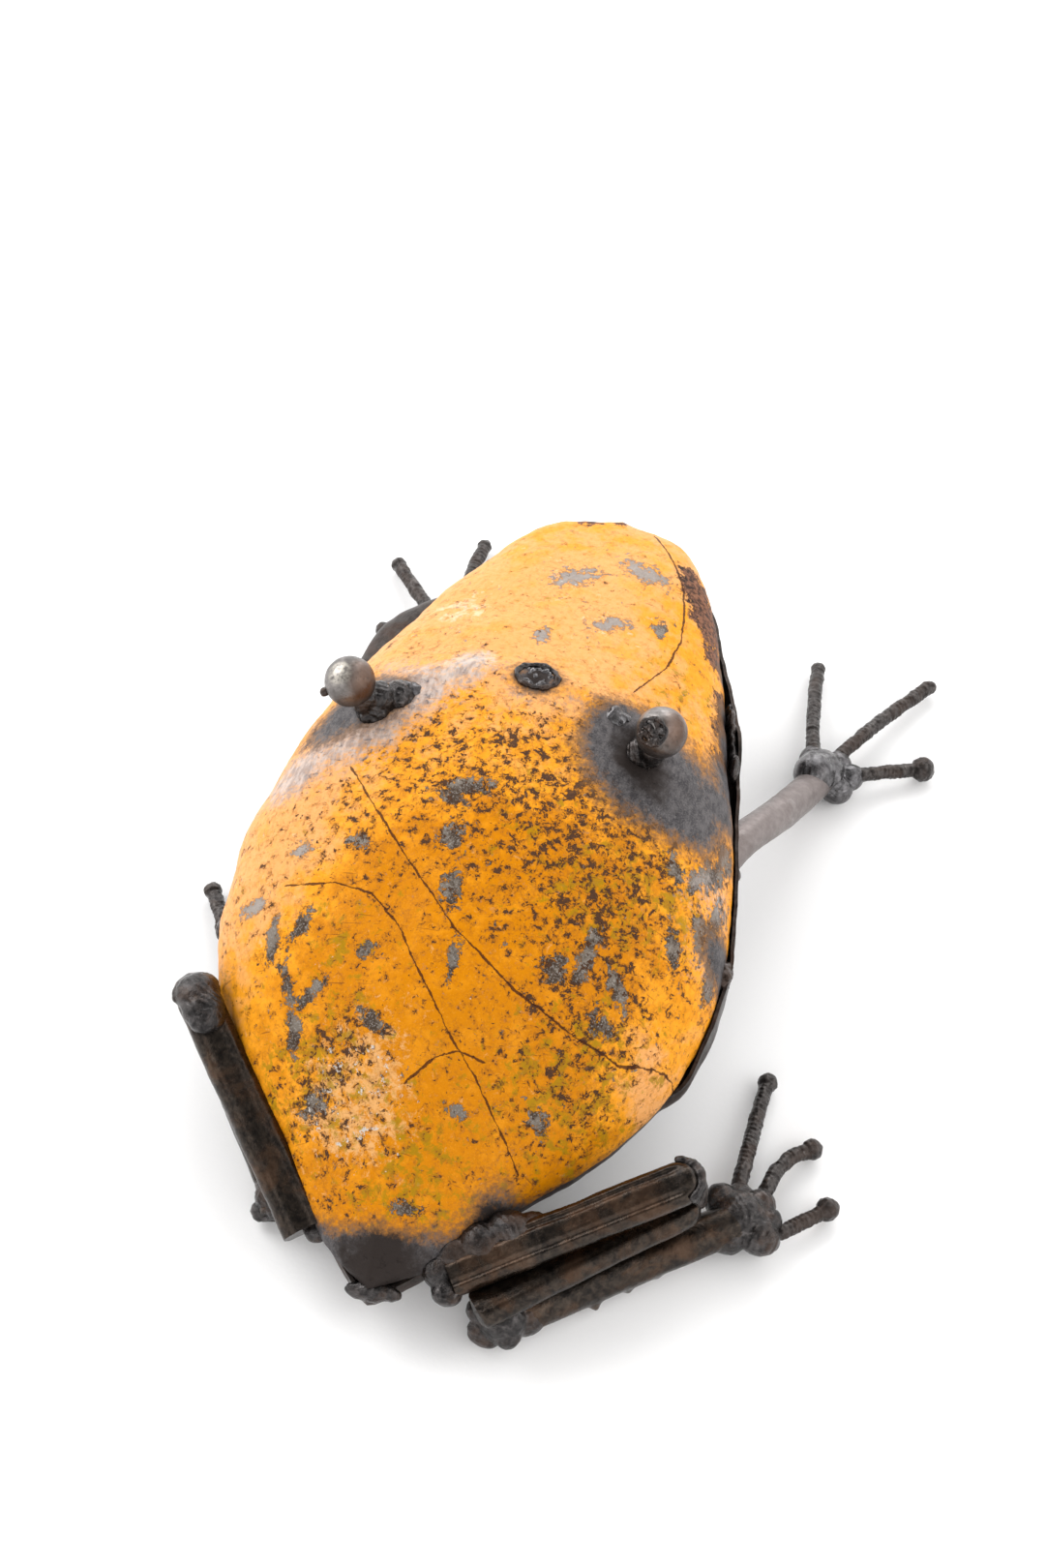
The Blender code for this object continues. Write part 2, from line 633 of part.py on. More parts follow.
# ---------------------------------------------------------------- whole object
def centre_on_floor(root):
    """Moves the assembly so that the origin is under the middle of its box, on the ground."""
    bpy.context.view_layer.update()
    graph = bpy.context.evaluated_depsgraph_get()
    corners = []
    for obj in root.children:
        if not obj.hide_render:
            solid = obj.evaluated_get(graph)
            mesh = solid.to_mesh()
            corners += [solid.matrix_world @ v.co for v in mesh.vertices]
            solid.to_mesh_clear()
    low, high = (Vector(f(p[i] for p in corners) for i in range(3)) for f in (min, max))
    root.location = -Vector(((low.x + high.x) / 2, (low.y + high.y) / 2, low.z))
    print("frog root moved by", [round(x, 5) for x in root.location])


def main():
    for obj in list(bpy.data.objects):
        bpy.data.objects.remove(obj)
    root = bpy.data.objects.new("frog", None)
    bpy.context.scene.collection.objects.link(root)
    body_rooms = build_body(root)
    for side in ("right", "left"):
        hind_leg(side, body_rooms, root)
        front_leg(side, body_rooms, root)
        eye(side, body_rooms, root)
    brow(body_rooms, root)
    for seed, (name, (place, radii)) in enumerate(SEAM_TACKS.items()):
        weld(name, place, radii, 30 + seed, root, body_rooms, detail=2)
    centre_on_floor(root)


main()
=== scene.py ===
"""Looks of the welded scrap-metal frog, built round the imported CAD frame.

Sizes are in millimetres as (right, forward, up) seen from the frog, as in the CAD, and the function at()
turns them into metres in the row frame. The frog faces -Y.
"""

import math
import random

import bmesh
import bpy
import numpy as np
from mathutils import Matrix, Vector, noise


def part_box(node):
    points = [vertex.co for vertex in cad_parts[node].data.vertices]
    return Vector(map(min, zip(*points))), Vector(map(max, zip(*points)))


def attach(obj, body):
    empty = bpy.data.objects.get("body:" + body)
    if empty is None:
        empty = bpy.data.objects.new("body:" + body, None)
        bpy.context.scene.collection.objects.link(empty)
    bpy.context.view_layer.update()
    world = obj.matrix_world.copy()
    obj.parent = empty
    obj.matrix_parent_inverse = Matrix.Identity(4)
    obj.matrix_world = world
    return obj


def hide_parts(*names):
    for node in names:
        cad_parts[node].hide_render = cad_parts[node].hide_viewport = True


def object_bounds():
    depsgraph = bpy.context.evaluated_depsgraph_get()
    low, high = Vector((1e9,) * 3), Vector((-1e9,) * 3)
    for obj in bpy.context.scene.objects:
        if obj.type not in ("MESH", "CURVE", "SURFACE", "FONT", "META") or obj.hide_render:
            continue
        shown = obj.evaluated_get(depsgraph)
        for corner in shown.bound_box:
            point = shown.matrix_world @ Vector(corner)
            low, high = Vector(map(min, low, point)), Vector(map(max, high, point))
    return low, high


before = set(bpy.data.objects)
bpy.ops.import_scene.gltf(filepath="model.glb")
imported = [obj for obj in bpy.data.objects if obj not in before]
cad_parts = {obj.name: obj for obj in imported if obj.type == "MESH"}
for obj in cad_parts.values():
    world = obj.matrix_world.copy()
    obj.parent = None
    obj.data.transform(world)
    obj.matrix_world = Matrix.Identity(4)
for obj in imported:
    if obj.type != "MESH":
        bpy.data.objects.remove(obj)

MM = 0.001
CAD_LOW, CAD_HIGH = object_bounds()
BOX_INSET = 0.02  # every piece stays this far inside the CAD box
NOISE_SHIFT = np.array((3.7, 1.3, 0.7))  # how far each seed moves the noise
SHARP = math.radians(50)

# ---- dimensions, the same as in the CAD unless a comment says otherwise ----
SHEET = 1.5  # drum sheet
ROD = 3.2  # radius of a toe rod with its weld skin
BODY_CENTRE = (0.0, -60.0)  # right, forward
NOSE_TO_TAIL = [  # right half of the plan outline: (half width, forward)
    (0, 141), (33, 131), (56, 99), (75, 56), (91, 10), (104, -40), (108, -84),
    (101, -124), (80, -163), (50, -195), (25, -225), (0, -241),
]
SNOUT_SWING = 11.0  # the snout points this far to the right
TAIL, SNOUT = -241.0, 142.0
SEAM_TAIL, SEAM_SNOUT = 29.0, 86.0  # height of the seam at each end
CROWN = [(-241, 58), (-150, 112), (-60, 129), (4, 133), (60, 122), (142, 110)]  # (forward, height)
BELLY_DEPTH = 31.0
RIM_SKIRT = 4.0  # depth of the upright edge of the belly shell
DOME_FULLNESS, BELLY_FULLNESS = 0.92, 0.8  # powers of the quarter-turn sections: 1 is a plain ellipse
RIM = {  # along each side of the belly: (forward, reach beyond the upper shell, height over its seam)
    1: [(-241, 2.4, -1.6), (-225, -2.6, -1.6), (-140, -2.6, -1.6), (-122, 2.6, -1.6), (-104, 2.6, 5),
        (-20, 2.6, 6), (36, 6, 5), (85, 3, -4), (142, 2.4, -15)],
    -1: [(-241, 2.4, -1.6), (-225, -3, -1.6), (-200, -3, -1.6), (-172, -3.2, 6), (-120, -3.2, 6),
         (-95, -3, -1.6), (-60, -3, -1.6), (-32, 2.6, -1.6), (14, 4, -2), (64, 20, -9),
         (108, 3, -14), (142, 2.4, -15)],
}
LEG_TUBE = (9.2, 6.4)  # half width and half thickness of the flattened leg tube
FOOT_TUBE, ARM_TUBE = 9.2, 8.0
SNUG_FOOT, SNUG_ARM = 0.4, 0.2  # the round tubes are drawn this much thinner, so that their dents stay inside
THIGH_TILT = 12  # degrees that a thigh's broad face is tipped outwards
HIND = {  # the left hip and the right heel_top are moved a few mm; hammering is (dish, groove)
    "right": {
        "hip": (31, -228, 32), "knee": (119, -172, 57), "shin_top": (120, -171, 36),
        "heel_top": (43, -237, 24), "heel": (54, -230, 10), "ankle": (137, -163, 14),
        "shin_tilt": 12, "out": 1, "hammering": (0.16, 0.20),
    },
    "left": {
        "hip": (-32, -223, 30), "knee": (-106, -142, 66), "shin_top": (-110, -130, 46),
        "heel_top": (-52, -201, 26), "heel": (-49, -207, 10), "ankle": (-89, -129, 14),
        "shin_tilt": 30, "out": -1, "hammering": (0.06, 0.05),
    },
}
ARMS = {
    "right": [(91, -22, 50), (98, 0, 49), (111, 34, 33), (120, 62, 19), (124, 76, 14)],
    "left": [(-92, -22, 50), (-92, 6, 47), (-85, 60, 32), (-74, 98, 18), (-71, 108, 14)],
}
TOE_ROOT = 0.45  # a rod starts this far from the middle of its bead to its first visible point
BEAD_OF = {
    "hind_right": (137, -163, 11), "hind_left": (-89, -129, 11),
    "front_right": (125, 79, 9.5), "front_left": (-70, 112, 9.5),
}
TOES = {  # route of each toe rod, and the radius of its welded tip, a little under the CAD's
    "hind_toe_inner_right": ([(133, -148, 11), (133, -112, 8), (134, -86, 5)], 4.1),
    "hind_toe_middle_right": ([(143, -150, 11), (147, -133, 9), (153, -123, 7), (162, -115, 5)], 4.3),
    "hind_toe_outer_right": ([(148, -166, 9), (160, -156, 8), (174, -141, 6)], 5.0),
    "hind_toe_inner_left": ([(-82, -111, 11), (-82, -80, 8), (-79, -54, 5)], 3.9),
    "hind_toe_middle_left": ([(-91, -110, 11), (-98, -82, 8), (-101, -48, 5)], 3.9),
    "hind_toe_outer_left": ([(-101, -114, 10), (-120, -74, 8), (-134, -52, 5)], 4.0),
    "front_toe_inner_right": ([(117, 94, 11), (112, 122, 8), (109, 150, 5)], 3.3),
    "front_toe_middle_right": ([(131, 94, 11), (146, 122, 8), (165, 152, 5)], 3.4),
    "front_toe_outer_right": ([(139, 83, 10), (155, 91, 8), (174, 100, 6)], 5.7),
    "front_toe_inner_left": ([(-68, 126, 11), (-70, 158, 8), (-69, 187, 5)], 3.6),
    "front_toe_middle_left": ([(-78, 124, 11), (-93, 143, 8), (-110, 163, 5)], 3.8),
    "front_toe_outer_left": ([(-82, 114, 10), (-94, 114, 8), (-106, 116, 6)], 4.2),
}
FOOT_DROPS = [  # drops of weld on the right foot: (place, height)
    ((87, -212, 6), 3.0), ((98, -201, 6), 2.4), ((108, -192, 7), 2.4),
    ((80, -199, 19), 1.0), ((112, -176, 20), 1.0),
]
DROP_SPREAD = 5.0  # squared reach of a drop
EYE_BALL = 11.0
EYE_AT = {"right": (64, -17, 137), "left": (-69, -24, 137)}
PUPIL_FACING = {"right": (-0.22, -0.65, 0.73), "left": (-0.81, -0.53, -0.24)}  # right, forward, up
# the first facing points to the pale patch on top of the left eye ball, a painted highlight
HIGHLIGHT_FACING, TINT_FACING = (0.3, 0.35, 0.85), (-0.75, 0.1, 0.35)  # x, y, z
# how strongly each eye ball is darkened towards the bottom: painted shade
BALL_UNDERSHADE = {"right": 0.9, "left": 0.75}
BALL_ROOM = 0.15  # a ball is this much smaller in radius, so that its wear stays inside

# ---- the finer surface ----
AROUND, DOME_ROWS, BELLY_ROWS, SKIRT_ROWS = 528, 92, 60, 10
BAR_STEP, TOE_STEP = 0.8, 0.45  # distance between sections along a tube and along a toe
BAR_AROUND, TOE_AROUND, LEG_AROUND = 64, 40, 72
TOE_THICKNESS = 0.98  # of the CAD's rod
RIPPLE_PITCH, RIPPLE_HEIGHT = 2.3, 0.22  # of the weld laid round a toe
BEAD_RIPPLE = 0.32  # height of the overlapping runs on a bead
JAW_TUCK = 2.5  # the jaw's upper edge starts this far under the upper shell
DENTS = [  # hammered into the upper shell: (right, forward, radius, depth); a swelling has a negative depth
    (-40, 56, 17, 2.2), (-20, 34, 13, -1.2), (-47, 22, 11, 1.6), (8, 28, 24, 1.6),
    (52, 20, 16, 1.2), (30, 80, 26, -1.4), (-84, -80, 30, -1.0), (60, -150, 30, 1.0),
    (-20, -195, 26, 1.4), (-62, -150, 20, 1.0), (10, -100, 34, -0.8), (62, -45, 18, 0.9),
]
BROW_LINE = [(-70, -12), (-30, 4), (5, 8), (40, 2), (72, -14)]  # the crease from eye to eye
BROW_HEIGHT, BROW_WIDTH = 2.2, 6.0
# ---- relief, as (size of the lumps, depth) ----
HAMMERING = [(34, 1.1), (15, 0.35), (6, 0.07)]
BELLY_HAMMERING = [(30, 1.0), (11, 0.35), (4, 0.12)]
HAND_CUT = [(26, 0.8), (8, 0.5), (2.6, 0.25)]
TOE_CRUST = [(7, 0.5), (2.6, 0.42), (1.1, 0.22)]
LEG_DENTS = [(24, 0.5), (9, 0.3), (3, 0.09), (1.4, 0.04)]
FOOT_DENTS = [(24, 0.5), (9, 0.35), (3, 0.12), (1.4, 0.05)]
ARM_DENTS = [(20, 0.5), (7, 0.2), (2.5, 0.05)]
CRUSTY = [(8, 0.8), (3.8, 0.7), (1.9, 0.45), (0.9, 0.2)]
MELTED = [(8, 0.6), (3.8, 0.5), (1.9, 0.25), (0.9, 0.12)]
SMOOTH = [(9, 0.4), (4.5, 0.3), (1.8, 0.12), (0.9, 0.05)]
BALL_WEAR = [(9, 0.12), (3.5, 0.08), (1.2, 0.05)]

# ---- marks on the paint, as (right, forward, radius, amount) ----
DEEP_TONE = [
    (20, -150, 75, 1.0), (-12, -120, 38, 0.6), (40, -95, 40, 0.4), (0, -200, 40, 0.8),
    (60, 70, 30, 0.3),
]
# pale paint; on the head and the left flank these marks are also painted highlights
PALE_TONE_AND_HIGHLIGHT = [
    (-90, -90, 34, 0.8), (-106, -60, 24, 0.6), (30, 90, 40, 0.3), (-40, 50, 40, 0.8),
    (90, -140, 22, 0.7), (-20, -180, 26, 0.7), (10, 30, 50, 0.3),
]
SPECKS = [  # a negative amount keeps a place clean
    (18, -42, 34, 0.62), (50, -62, 30, 0.95), (-30, -40, 26, 0.45), (62, -112, 34, 0.6),
    (-10, -90, 40, 0.3), (-34, -168, 16, 0.8), (60, -158, 22, 0.5), (-30, -200, 30, 0.35),
    (-55, -85, 26, 0.2), (0, 95, 60, -0.4), (45, 60, 35, -0.3),
]
STAINS = [
    (80, -78, 24, 1.0), (48, -92, 22, 0.9), (56, -162, 26, 0.9), (72, -140, 20, 0.8),
    (-44, -126, 18, 0.7), (-36, -164, 22, 0.9), (4, -200, 30, 1.0), (-55, -180, 20, 0.7),
    (20, -60, 25, 0.5), (62, 40, 16, 0.6),
]
# rubbed paint; on the head and the left rear these marks are also painted highlights
WEAR_AND_HIGHLIGHT = [
    (-22, -172, 19, 1.0), (-12, -190, 16, 0.9), (-32, -184, 14, 0.8), (0, 82, 14, 0.5),
    (24, 54, 12, 0.4), (-42, 54, 13, 1.0), (-24, 10, 11, 1.0), (-34, 0, 9, 0.9),
]
BURNS = [
    (60, -22, 26, 1.3), (47, -11, 15, 0.9), (82, -33, 14, 0.75), (-64, -14, 15, 1.2),
    (-80, -28, 13, 0.7), (5, 5, 10, 1.15), (108, -78, 11, 1.1), (47, -207, 13, 1.2),
    (31, -230, 14, 1.2), (4, -246, 17, 1.3), (14, -239, 14, 1.1), (-5, -241, 14, 1.1),
    (-15, -244, 15, 1.2), (-31, -231, 10, 1.1), (90, 28, 9, 1.2), (86, 45, 8, 1.2),
    (93, 8, 10, 1.1), (79, 65, 6, 1.0), (92, -12, 9, 0.7),
]
ASH = [
    (-58, -33, 18, 0.95), (-43, -8, 15, 1.0), (-82, -46, 17, 0.75), (2, -4, 13, 0.45),
    (-24, 3, 11, 0.5), (-62, 6, 12, 0.5), (28, -4, 12, 0.4), (-22, 12, 10, 0.5),
    (-90, -58, 12, 0.5), (98, -56, 11, 0.45), (102, -88, 9, 0.5), (94, -70, 13, 0.3),
]
SOOT = [
    (55, -16, 14, 1.0), (66, -32, 12, 0.5), (-58, -20, 12, 1.0), (5, 5, 7, 1.0),
    (42, -210, 13, 1.0), (4, -243, 25, 1.2),
]
CHIPS = [  # bare patches: (right, forward, half length, half width, turn in degrees)
    (-73, -128, 2.5, 8, 10), (-62, -143, 9, 2, -61), (-50, -148, 8, 2.6, 45),
    (-54, -160, 9, 2.8, -75), (-61, -123, 3, 7, -20), (-86, -113, 5, 3, 0), (-8, -82, 7, 4, 30),
    (-9, -60, 12, 4, 20), (-12, -66, 7, 3, -20), (-2, -104, 4, 8, 0), (6, -130, 2.5, 7, 5),
    (57, -112, 3, 12, -10), (71, -118, 3, 8, 35), (88, -92, 3, 8, 20), (31, 96, 10, 6, -30),
    (2, 84, 10, 5.5, 35), (25, 54, 8, 3.5, 35), (-1, 36, 3, 5, 0), (46, 62, 3, 5, 20),
    (52, -171, 4, 3, 0), (46, -121, 5, 5, 0), (20, -179, 4, 2, 0), (68, -133, 4, 4, 0),
    (82, -62, 3, 7, 30), (-46, -89, 5, 3, 0), (95, -50, 4, 10, -20), (98, -34, 3, 8, 0),
    (101, -64, 2.6, 11, -5), (96, -78, 2.4, 8, 10), (90, -60, 2.2, 6, -10), (104, -90, 2, 8, 0),
    (-38, -184, 6, 4, 0), (-21, -157, 8, 3, -30), (8, -214, 7, 2, 10), (-30, -132, 4, 3, 0),
    (-70, -92, 4, 3, 0),
]
FLAKES = [  # rust flakes at the edge of the head
    (54, 101, 9, 1.5), (64, 86, 10, 1.6), (48, 112, 6, 1.0), (72, 68, 8, 1.4), (82, 48, 8, 1.6),
    (86, 32, 9, 1.6), (89, 14, 8, 1.3), (-4, 135, 8, 1.1), (12, 136, 6, 0.9),
]
CRACKS = {  # lines where the paint has split: (right, forward)
    "crack_long": [
        (-60, -54), (-45, -72), (-27, -91), (3, -119), (32, -134), (58, -141), (78, -142), (99, -130),
    ],
    "crack_hook": [
        (-73, -107), (-52, -106), (-34, -110), (-20, -121), (-8, -136), (3, -148), (12, -157),
        (24, -166), (35, -176), (48, -188),
    ],
    "crack_side": [(-2, -175), (2, -171), (8, -165), (16, -161), (27, -161)],
    "crack_head": [(28, 132), (41, 113), (49, 97), (53, 81), (56, 61), (54, 41), (45, 17)],
}

# ---- colours ----
PAINT_PALE, PAINT_MID, PAINT_DEEP = (0.74, 0.355, 0.12), (0.80, 0.315, 0.014), (0.56, 0.195, 0.001)
MOTTLE_PALE, MOTTLE_DEEP = (0.56, 0.20, 0.010), (0.40, 0.118, 0.001)
PAINT_GRAIN = (0.76, 0.34, 0.035)
# colours of rubbed paint, which also paint the highlights on the head and the left rear
RUBBED_AND_LIT_PALE, RUBBED_AND_LIT_DEEP = (0.80, 0.53, 0.33), (0.68, 0.37, 0.14)
# the second is the undercoat, whose flecks also paint glints in those highlights
OLIVE, UNDERCOAT_AND_GLINT = (0.27, 0.175, 0.004), (0.52, 0.47, 0.42)
SCRATCHED, CRACKED, SINGED = (0.16, 0.05, 0.008), (0.055, 0.016, 0.006), (0.17, 0.085, 0.035)
RUST_STAIN, RUST_DARK, RUST_BROWN = (0.28, 0.095, 0.012), (0.022, 0.012, 0.008), (0.115, 0.052, 0.026)
FLAKE_DARK, FLAKE_BROWN = (0.024, 0.014, 0.011), (0.23, 0.10, 0.055)
CHIP_EDGE, CHIP_DARK, CHIP_GREY = (0.17, 0.06, 0.010), (0.060, 0.042, 0.030), (0.17, 0.145, 0.12)
CHIP_WORN, CHIP_CLEAN, CHIP_BRIGHT = (0.30, 0.275, 0.255), (0.22, 0.19, 0.17), (0.52, 0.46, 0.42)
ASH_DARK, ASH_PALE = (0.26, 0.235, 0.235), (0.50, 0.45, 0.43)
SCALE_DARK, SCALE_PALE, SCALE_WORN = (0.052, 0.049, 0.052), (0.105, 0.098, 0.100), (0.19, 0.175, 0.17)
SOOT_BLACK = (0.028, 0.022, 0.020)
BALL_DARK, BALL_PALE, BALL_CLOUDED = (0.10, 0.092, 0.086), (0.27, 0.25, 0.24), (0.10, 0.09, 0.085)
# the second colour is painted shade on the lower part of each ball
BALL_TINT, BALL_SHADE = (0.10, 0.050, 0.028), (0.045, 0.036, 0.032)
# the first of these is the colour of the painted highlight on the left ball
BALL_HIGHLIGHT, BALL_PIT = (0.62, 0.58, 0.50), (0.05, 0.045, 0.04)
METALNESS = 0.85
STEELS = {  # look: ((dark, light, heat brown, roughness), settings that differ from the usual)
    "dark_sheet": (((0.024, 0.019, 0.017), (0.060, 0.050, 0.045), (0.055, 0.028, 0.018), 0.38), {}),
    "leg_tube": (
        ((0.010, 0.008, 0.007), (0.046, 0.035, 0.027), (0.085, 0.043, 0.022), 0.20), {"oil": 0.06},
    ),
    "arm_tube": (
        ((0.178, 0.152, 0.145), (0.228, 0.198, 0.19), (0.13, 0.105, 0.095), 0.40),
        {"tint": 0.3, "bump": 0.1},
    ),
    "toe_rod": (
        ((0.017, 0.014, 0.013), (0.068, 0.061, 0.058), (0.05, 0.032, 0.024), 0.30),
        {"bump": 0.4, "oil": 0.1},
    ),
    "weld_metal": (
        ((0.011, 0.010, 0.010), (0.056, 0.051, 0.050), (0.065, 0.036, 0.022), 0.20),
        {"bump": 0.4, "oil": 0.1},
    ),
    "weld_silver": (
        ((0.040, 0.038, 0.040), (0.13, 0.126, 0.13), (0.05, 0.040, 0.036), 0.20),
        {"tint": 0.3, "oil": 0.2},
    ),
}

# ---- camera and studio ----
LOOK_AT = (0, 0, 60)
CAMERA_TURN, CAMERA_RISE, CAMERA_DISTANCE = 195.0, 52.0, 1.2
LENS, SENSOR = 61.96, 36.0
DARK_CEILING = (0.16, 0.12, 0.98)  # direction of the darker patch overhead, which keeps the paint deep
WALLS, CEILING = 1.62, 0.35  # brightness round about, and overhead
CEILING_EDGE = (0.66, 0.95)  # cosines between which one turns into the other
LIGHTS = [  # (name, place, power, size), in metres and watts
    ("key", (1.3, -0.45, 1.15), 16, 1.1),
    ("front", (-0.1, -1.5, 1.0), 8, 1.0),
    ("fill", (-1.4, 0.1, 0.9), 4, 1.2),
]
LIT_AT = Vector((0, 0, 0.06))
ROOM_WHITE = (1.0, 0.99, 0.985, 1)
PAPER_GREY, PAPER_WHITE = (0.955, 0.955, 0.955), (0.975, 0.975, 0.975)
FLOOR_REACH = 6  # metres


# ---------------------------------------------------------------- places
eye_low, eye_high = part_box("eye_ball_right")
eye_right, eye_forward, eye_up = EYE_AT["right"]
ROOT = (eye_low + eye_high) / 2 - Vector((-eye_right, -eye_forward, eye_up)) * MM


def at(right, forward, up):
    """The place in the row frame, in metres, of a point given in mm from the frog."""
    return Vector((-right, -forward, up)) * MM + ROOT


def rows_at(points):
    """The same for an array of points in mm."""
    return points * np.array((-1, -1, 1)) * MM + np.array(ROOT)


def cloud(points, size, seed=0.0):
    """Smooth noise at each point, -1 to 1; size is the width of its lumps, in the points' own unit."""
    places = points.reshape(-1, 3) / size + seed * NOISE_SHIFT
    return np.array([noise.noise(p) for p in places]).reshape(points.shape[:-1])


def layered(points, layers, seed=0.0):
    """The sum of several sizes of noise."""
    return sum(depth * cloud(points, size, seed + k) for k, (size, depth) in enumerate(layers))


def smooth_step(low, high, x):
    """0 below low, 1 above high, with an eased rise between."""
    t = np.clip((x - low) / (high - low), 0, 1)
    return t * t * (3 - 2 * t)


def spots(plan, marks):
    """Sum of soft round marks (right, forward, radius, amount) at points (right, forward)."""
    total = np.zeros(plan.shape[:-1])
    for right, forward, radius, amount in marks:
        away = (plan[..., 0] - right) ** 2 + (plan[..., 1] - forward) ** 2
        total += amount * np.exp(-away / radius**2)
    return total


def curve_through(points, steps):
    """A smooth line through the points, as an array, with this many steps in each stretch."""
    p = np.array(points, float)
    p = np.vstack([2 * p[0] - p[1], p, 2 * p[-1] - p[-2]])
    t = np.linspace(0, 1, steps, endpoint=False)[:, None]
    line = []
    for before, a, b, after in zip(p, p[1:], p[2:], p[3:]):
        c, d = a + (b - before) / 6, b - (after - a) / 6
        line.append((1 - t) ** 3 * a + 3 * t * (1 - t) ** 2 * c + 3 * t**2 * (1 - t) * d + t**3 * b)
    return np.vstack([*line, p[-2]])


def evenly(line, count):
    """The line again as this many points at even distances."""
    lengths = np.concatenate([[0], np.cumsum(np.linalg.norm(np.diff(line, axis=0), axis=1))])
    want = np.linspace(0, lengths[-1], count)
    return np.stack([np.interp(want, lengths, line[:, k]) for k in range(line.shape[1])], -1)


# ---------------------------------------------------------------- meshes
def grid_faces(rows, around, start=0):
    """Quads between closed rings of points that are stored one ring after another."""
    i = np.arange(rows - 1)[:, None] * around + start
    j = np.arange(around)[None, :]
    k = (j + 1) % around
    return np.stack([i + j, i + k, i + around + k, i + around + j], -1).reshape(-1, 4)


def fan(ring, tip, flip=False):
    """Triangles from a ring of indices to a tip."""
    following = np.roll(ring, -1)
    faces = np.stack([following, ring, np.full_like(ring, tip)], -1)
    return faces[:, ::-1] if flip else faces


def piece(name, points, faces, look, nodes, attributes=None):
    """One finished object from points in metres; it rides on the body and stands for its CAD nodes."""
    inset = BOX_INSET * MM
    low, high = np.array(CAD_LOW) + inset, np.array(CAD_HIGH) - inset
    mesh = bpy.data.meshes.new(name)
    corners = [list(map(int, face)) for part in faces for face in part]
    mesh.from_pydata(np.clip(points, low, high).tolist(), [], corners)
    mesh.validate()
    bm = bmesh.new()
    bm.from_mesh(mesh)
    bmesh.ops.recalc_face_normals(bm, faces=bm.faces)
    if bm.calc_volume(signed=True) < 0:
        bmesh.ops.reverse_faces(bm, faces=bm.faces)
    bm.to_mesh(mesh)
    bm.free()
    mesh.shade_smooth()
    mesh.set_sharp_from_angle(angle=SHARP)
    for key, values in (attributes or {}).items():
        kind = "FLOAT" if values.ndim == 1 else "FLOAT_VECTOR"
        layer = mesh.attributes.new(key, kind, "POINT")
        field = "value" if kind == "FLOAT" else "vector"
        layer.data.foreach_set(field, values.astype(np.float32).ravel())
    mesh.materials.append(look)
    obj = bpy.data.objects.new(name, mesh)
    bpy.context.scene.collection.objects.link(obj)
    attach(obj, "root")
    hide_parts(*nodes)
    return obj


def normals_of(points, faces):
    """Vertex normals of a mesh given as arrays."""
    total = np.zeros_like(points)
    for part in faces:
        a, b, c = points[part[:, 0]], points[part[:, 1]], points[part[:, 2]]
        out = np.cross(b - a, c - a)
        if part.shape[1] == 4:
            out = out + np.cross(c - a, points[part[:, 3]] - a)
        for k in range(part.shape[1]):
            np.add.at(total, part[:, k], out)
    return total / np.maximum(np.linalg.norm(total, axis=1, keepdims=True), 1e-12)


def remeshed(mesh, voxel, smoothing):
    """The outside of a mesh as fine even quads: points in metres, and faces."""
    obj = bpy.data.objects.new("to_remesh", mesh)
    bpy.context.scene.collection.objects.link(obj)
    grid = obj.modifiers.new("grid", "REMESH")
    grid.mode = "VOXEL"
    grid.voxel_size = voxel * MM
    ease = obj.modifiers.new("ease", "SMOOTH")
    ease.factor = 0.5
    ease.iterations = smoothing
    bpy.context.view_layer.update()
    even = bpy.data.meshes.new_from_object(obj.evaluated_get(bpy.context.evaluated_depsgraph_get()))
    points = np.zeros(len(even.vertices) * 3)
    even.vertices.foreach_get("co", points)
    faces = np.array([tuple(f.vertices) for f in even.polygons])
    bpy.data.objects.remove(obj)
    bpy.data.meshes.remove(even)
    bpy.data.meshes.remove(mesh)
    return points.reshape(-1, 3), faces


def joined(lumps, voxel, smoothing):
    """One closed skin round overlapping lumps, each (right, forward, up, and its radius or three radii)."""
    bm = bmesh.new()
    for right, forward, up, *radii in lumps:
        made = bmesh.ops.create_icosphere(bm, subdivisions=3, radius=MM)
        size = Matrix.Diagonal((*(radii * 3)[:3], 1))
        place = Matrix.Translation(at(right, forward, up))
        bmesh.ops.transform(bm, matrix=place @ size, verts=made["verts"])
    mesh = bpy.data.meshes.new("lumps")
    bm.to_mesh(mesh)
    bm.free()
    return remeshed(mesh, voxel, smoothing)


# ---------------------------------------------------------------- body
def plan_outline(count):
    """The body's closed plan outline from the snout, and the outward direction at each point."""
    half = curve_through(NOSE_TO_TAIL, 24)
    ring = evenly(np.vstack([half, (half * (-1, 1))[::-1][1:]]), count + 1)[:-1]
    ring[:, 0] += SNOUT_SWING * np.clip((ring[:, 1] - 20) / (SNOUT - 20), 0, None)
    along = np.roll(ring, -1, 0) - np.roll(ring, 1, 0)
    out = np.stack([-along[:, 1], along[:, 0]], -1)
    out /= np.linalg.norm(out, axis=1, keepdims=True)
    wrong = ((ring - BODY_CENTRE) * out).sum(1) < 0
    out[wrong] *= -1
    return ring, out


def seam_height(forward):
    """Height of the line where the two shells meet."""
    return SEAM_TAIL + (SEAM_SNOUT - SEAM_TAIL) * (forward - TAIL) / (SNOUT - TAIL)


def crown_height(forward):
    """The lengthwise profile of the back, with its corners eased."""
    x, z = np.array(CROWN, float).T
    return sum(np.interp(forward + shift, x, z) for shift in (-12, -8, -4, 0, 4, 8, 12)) / 7


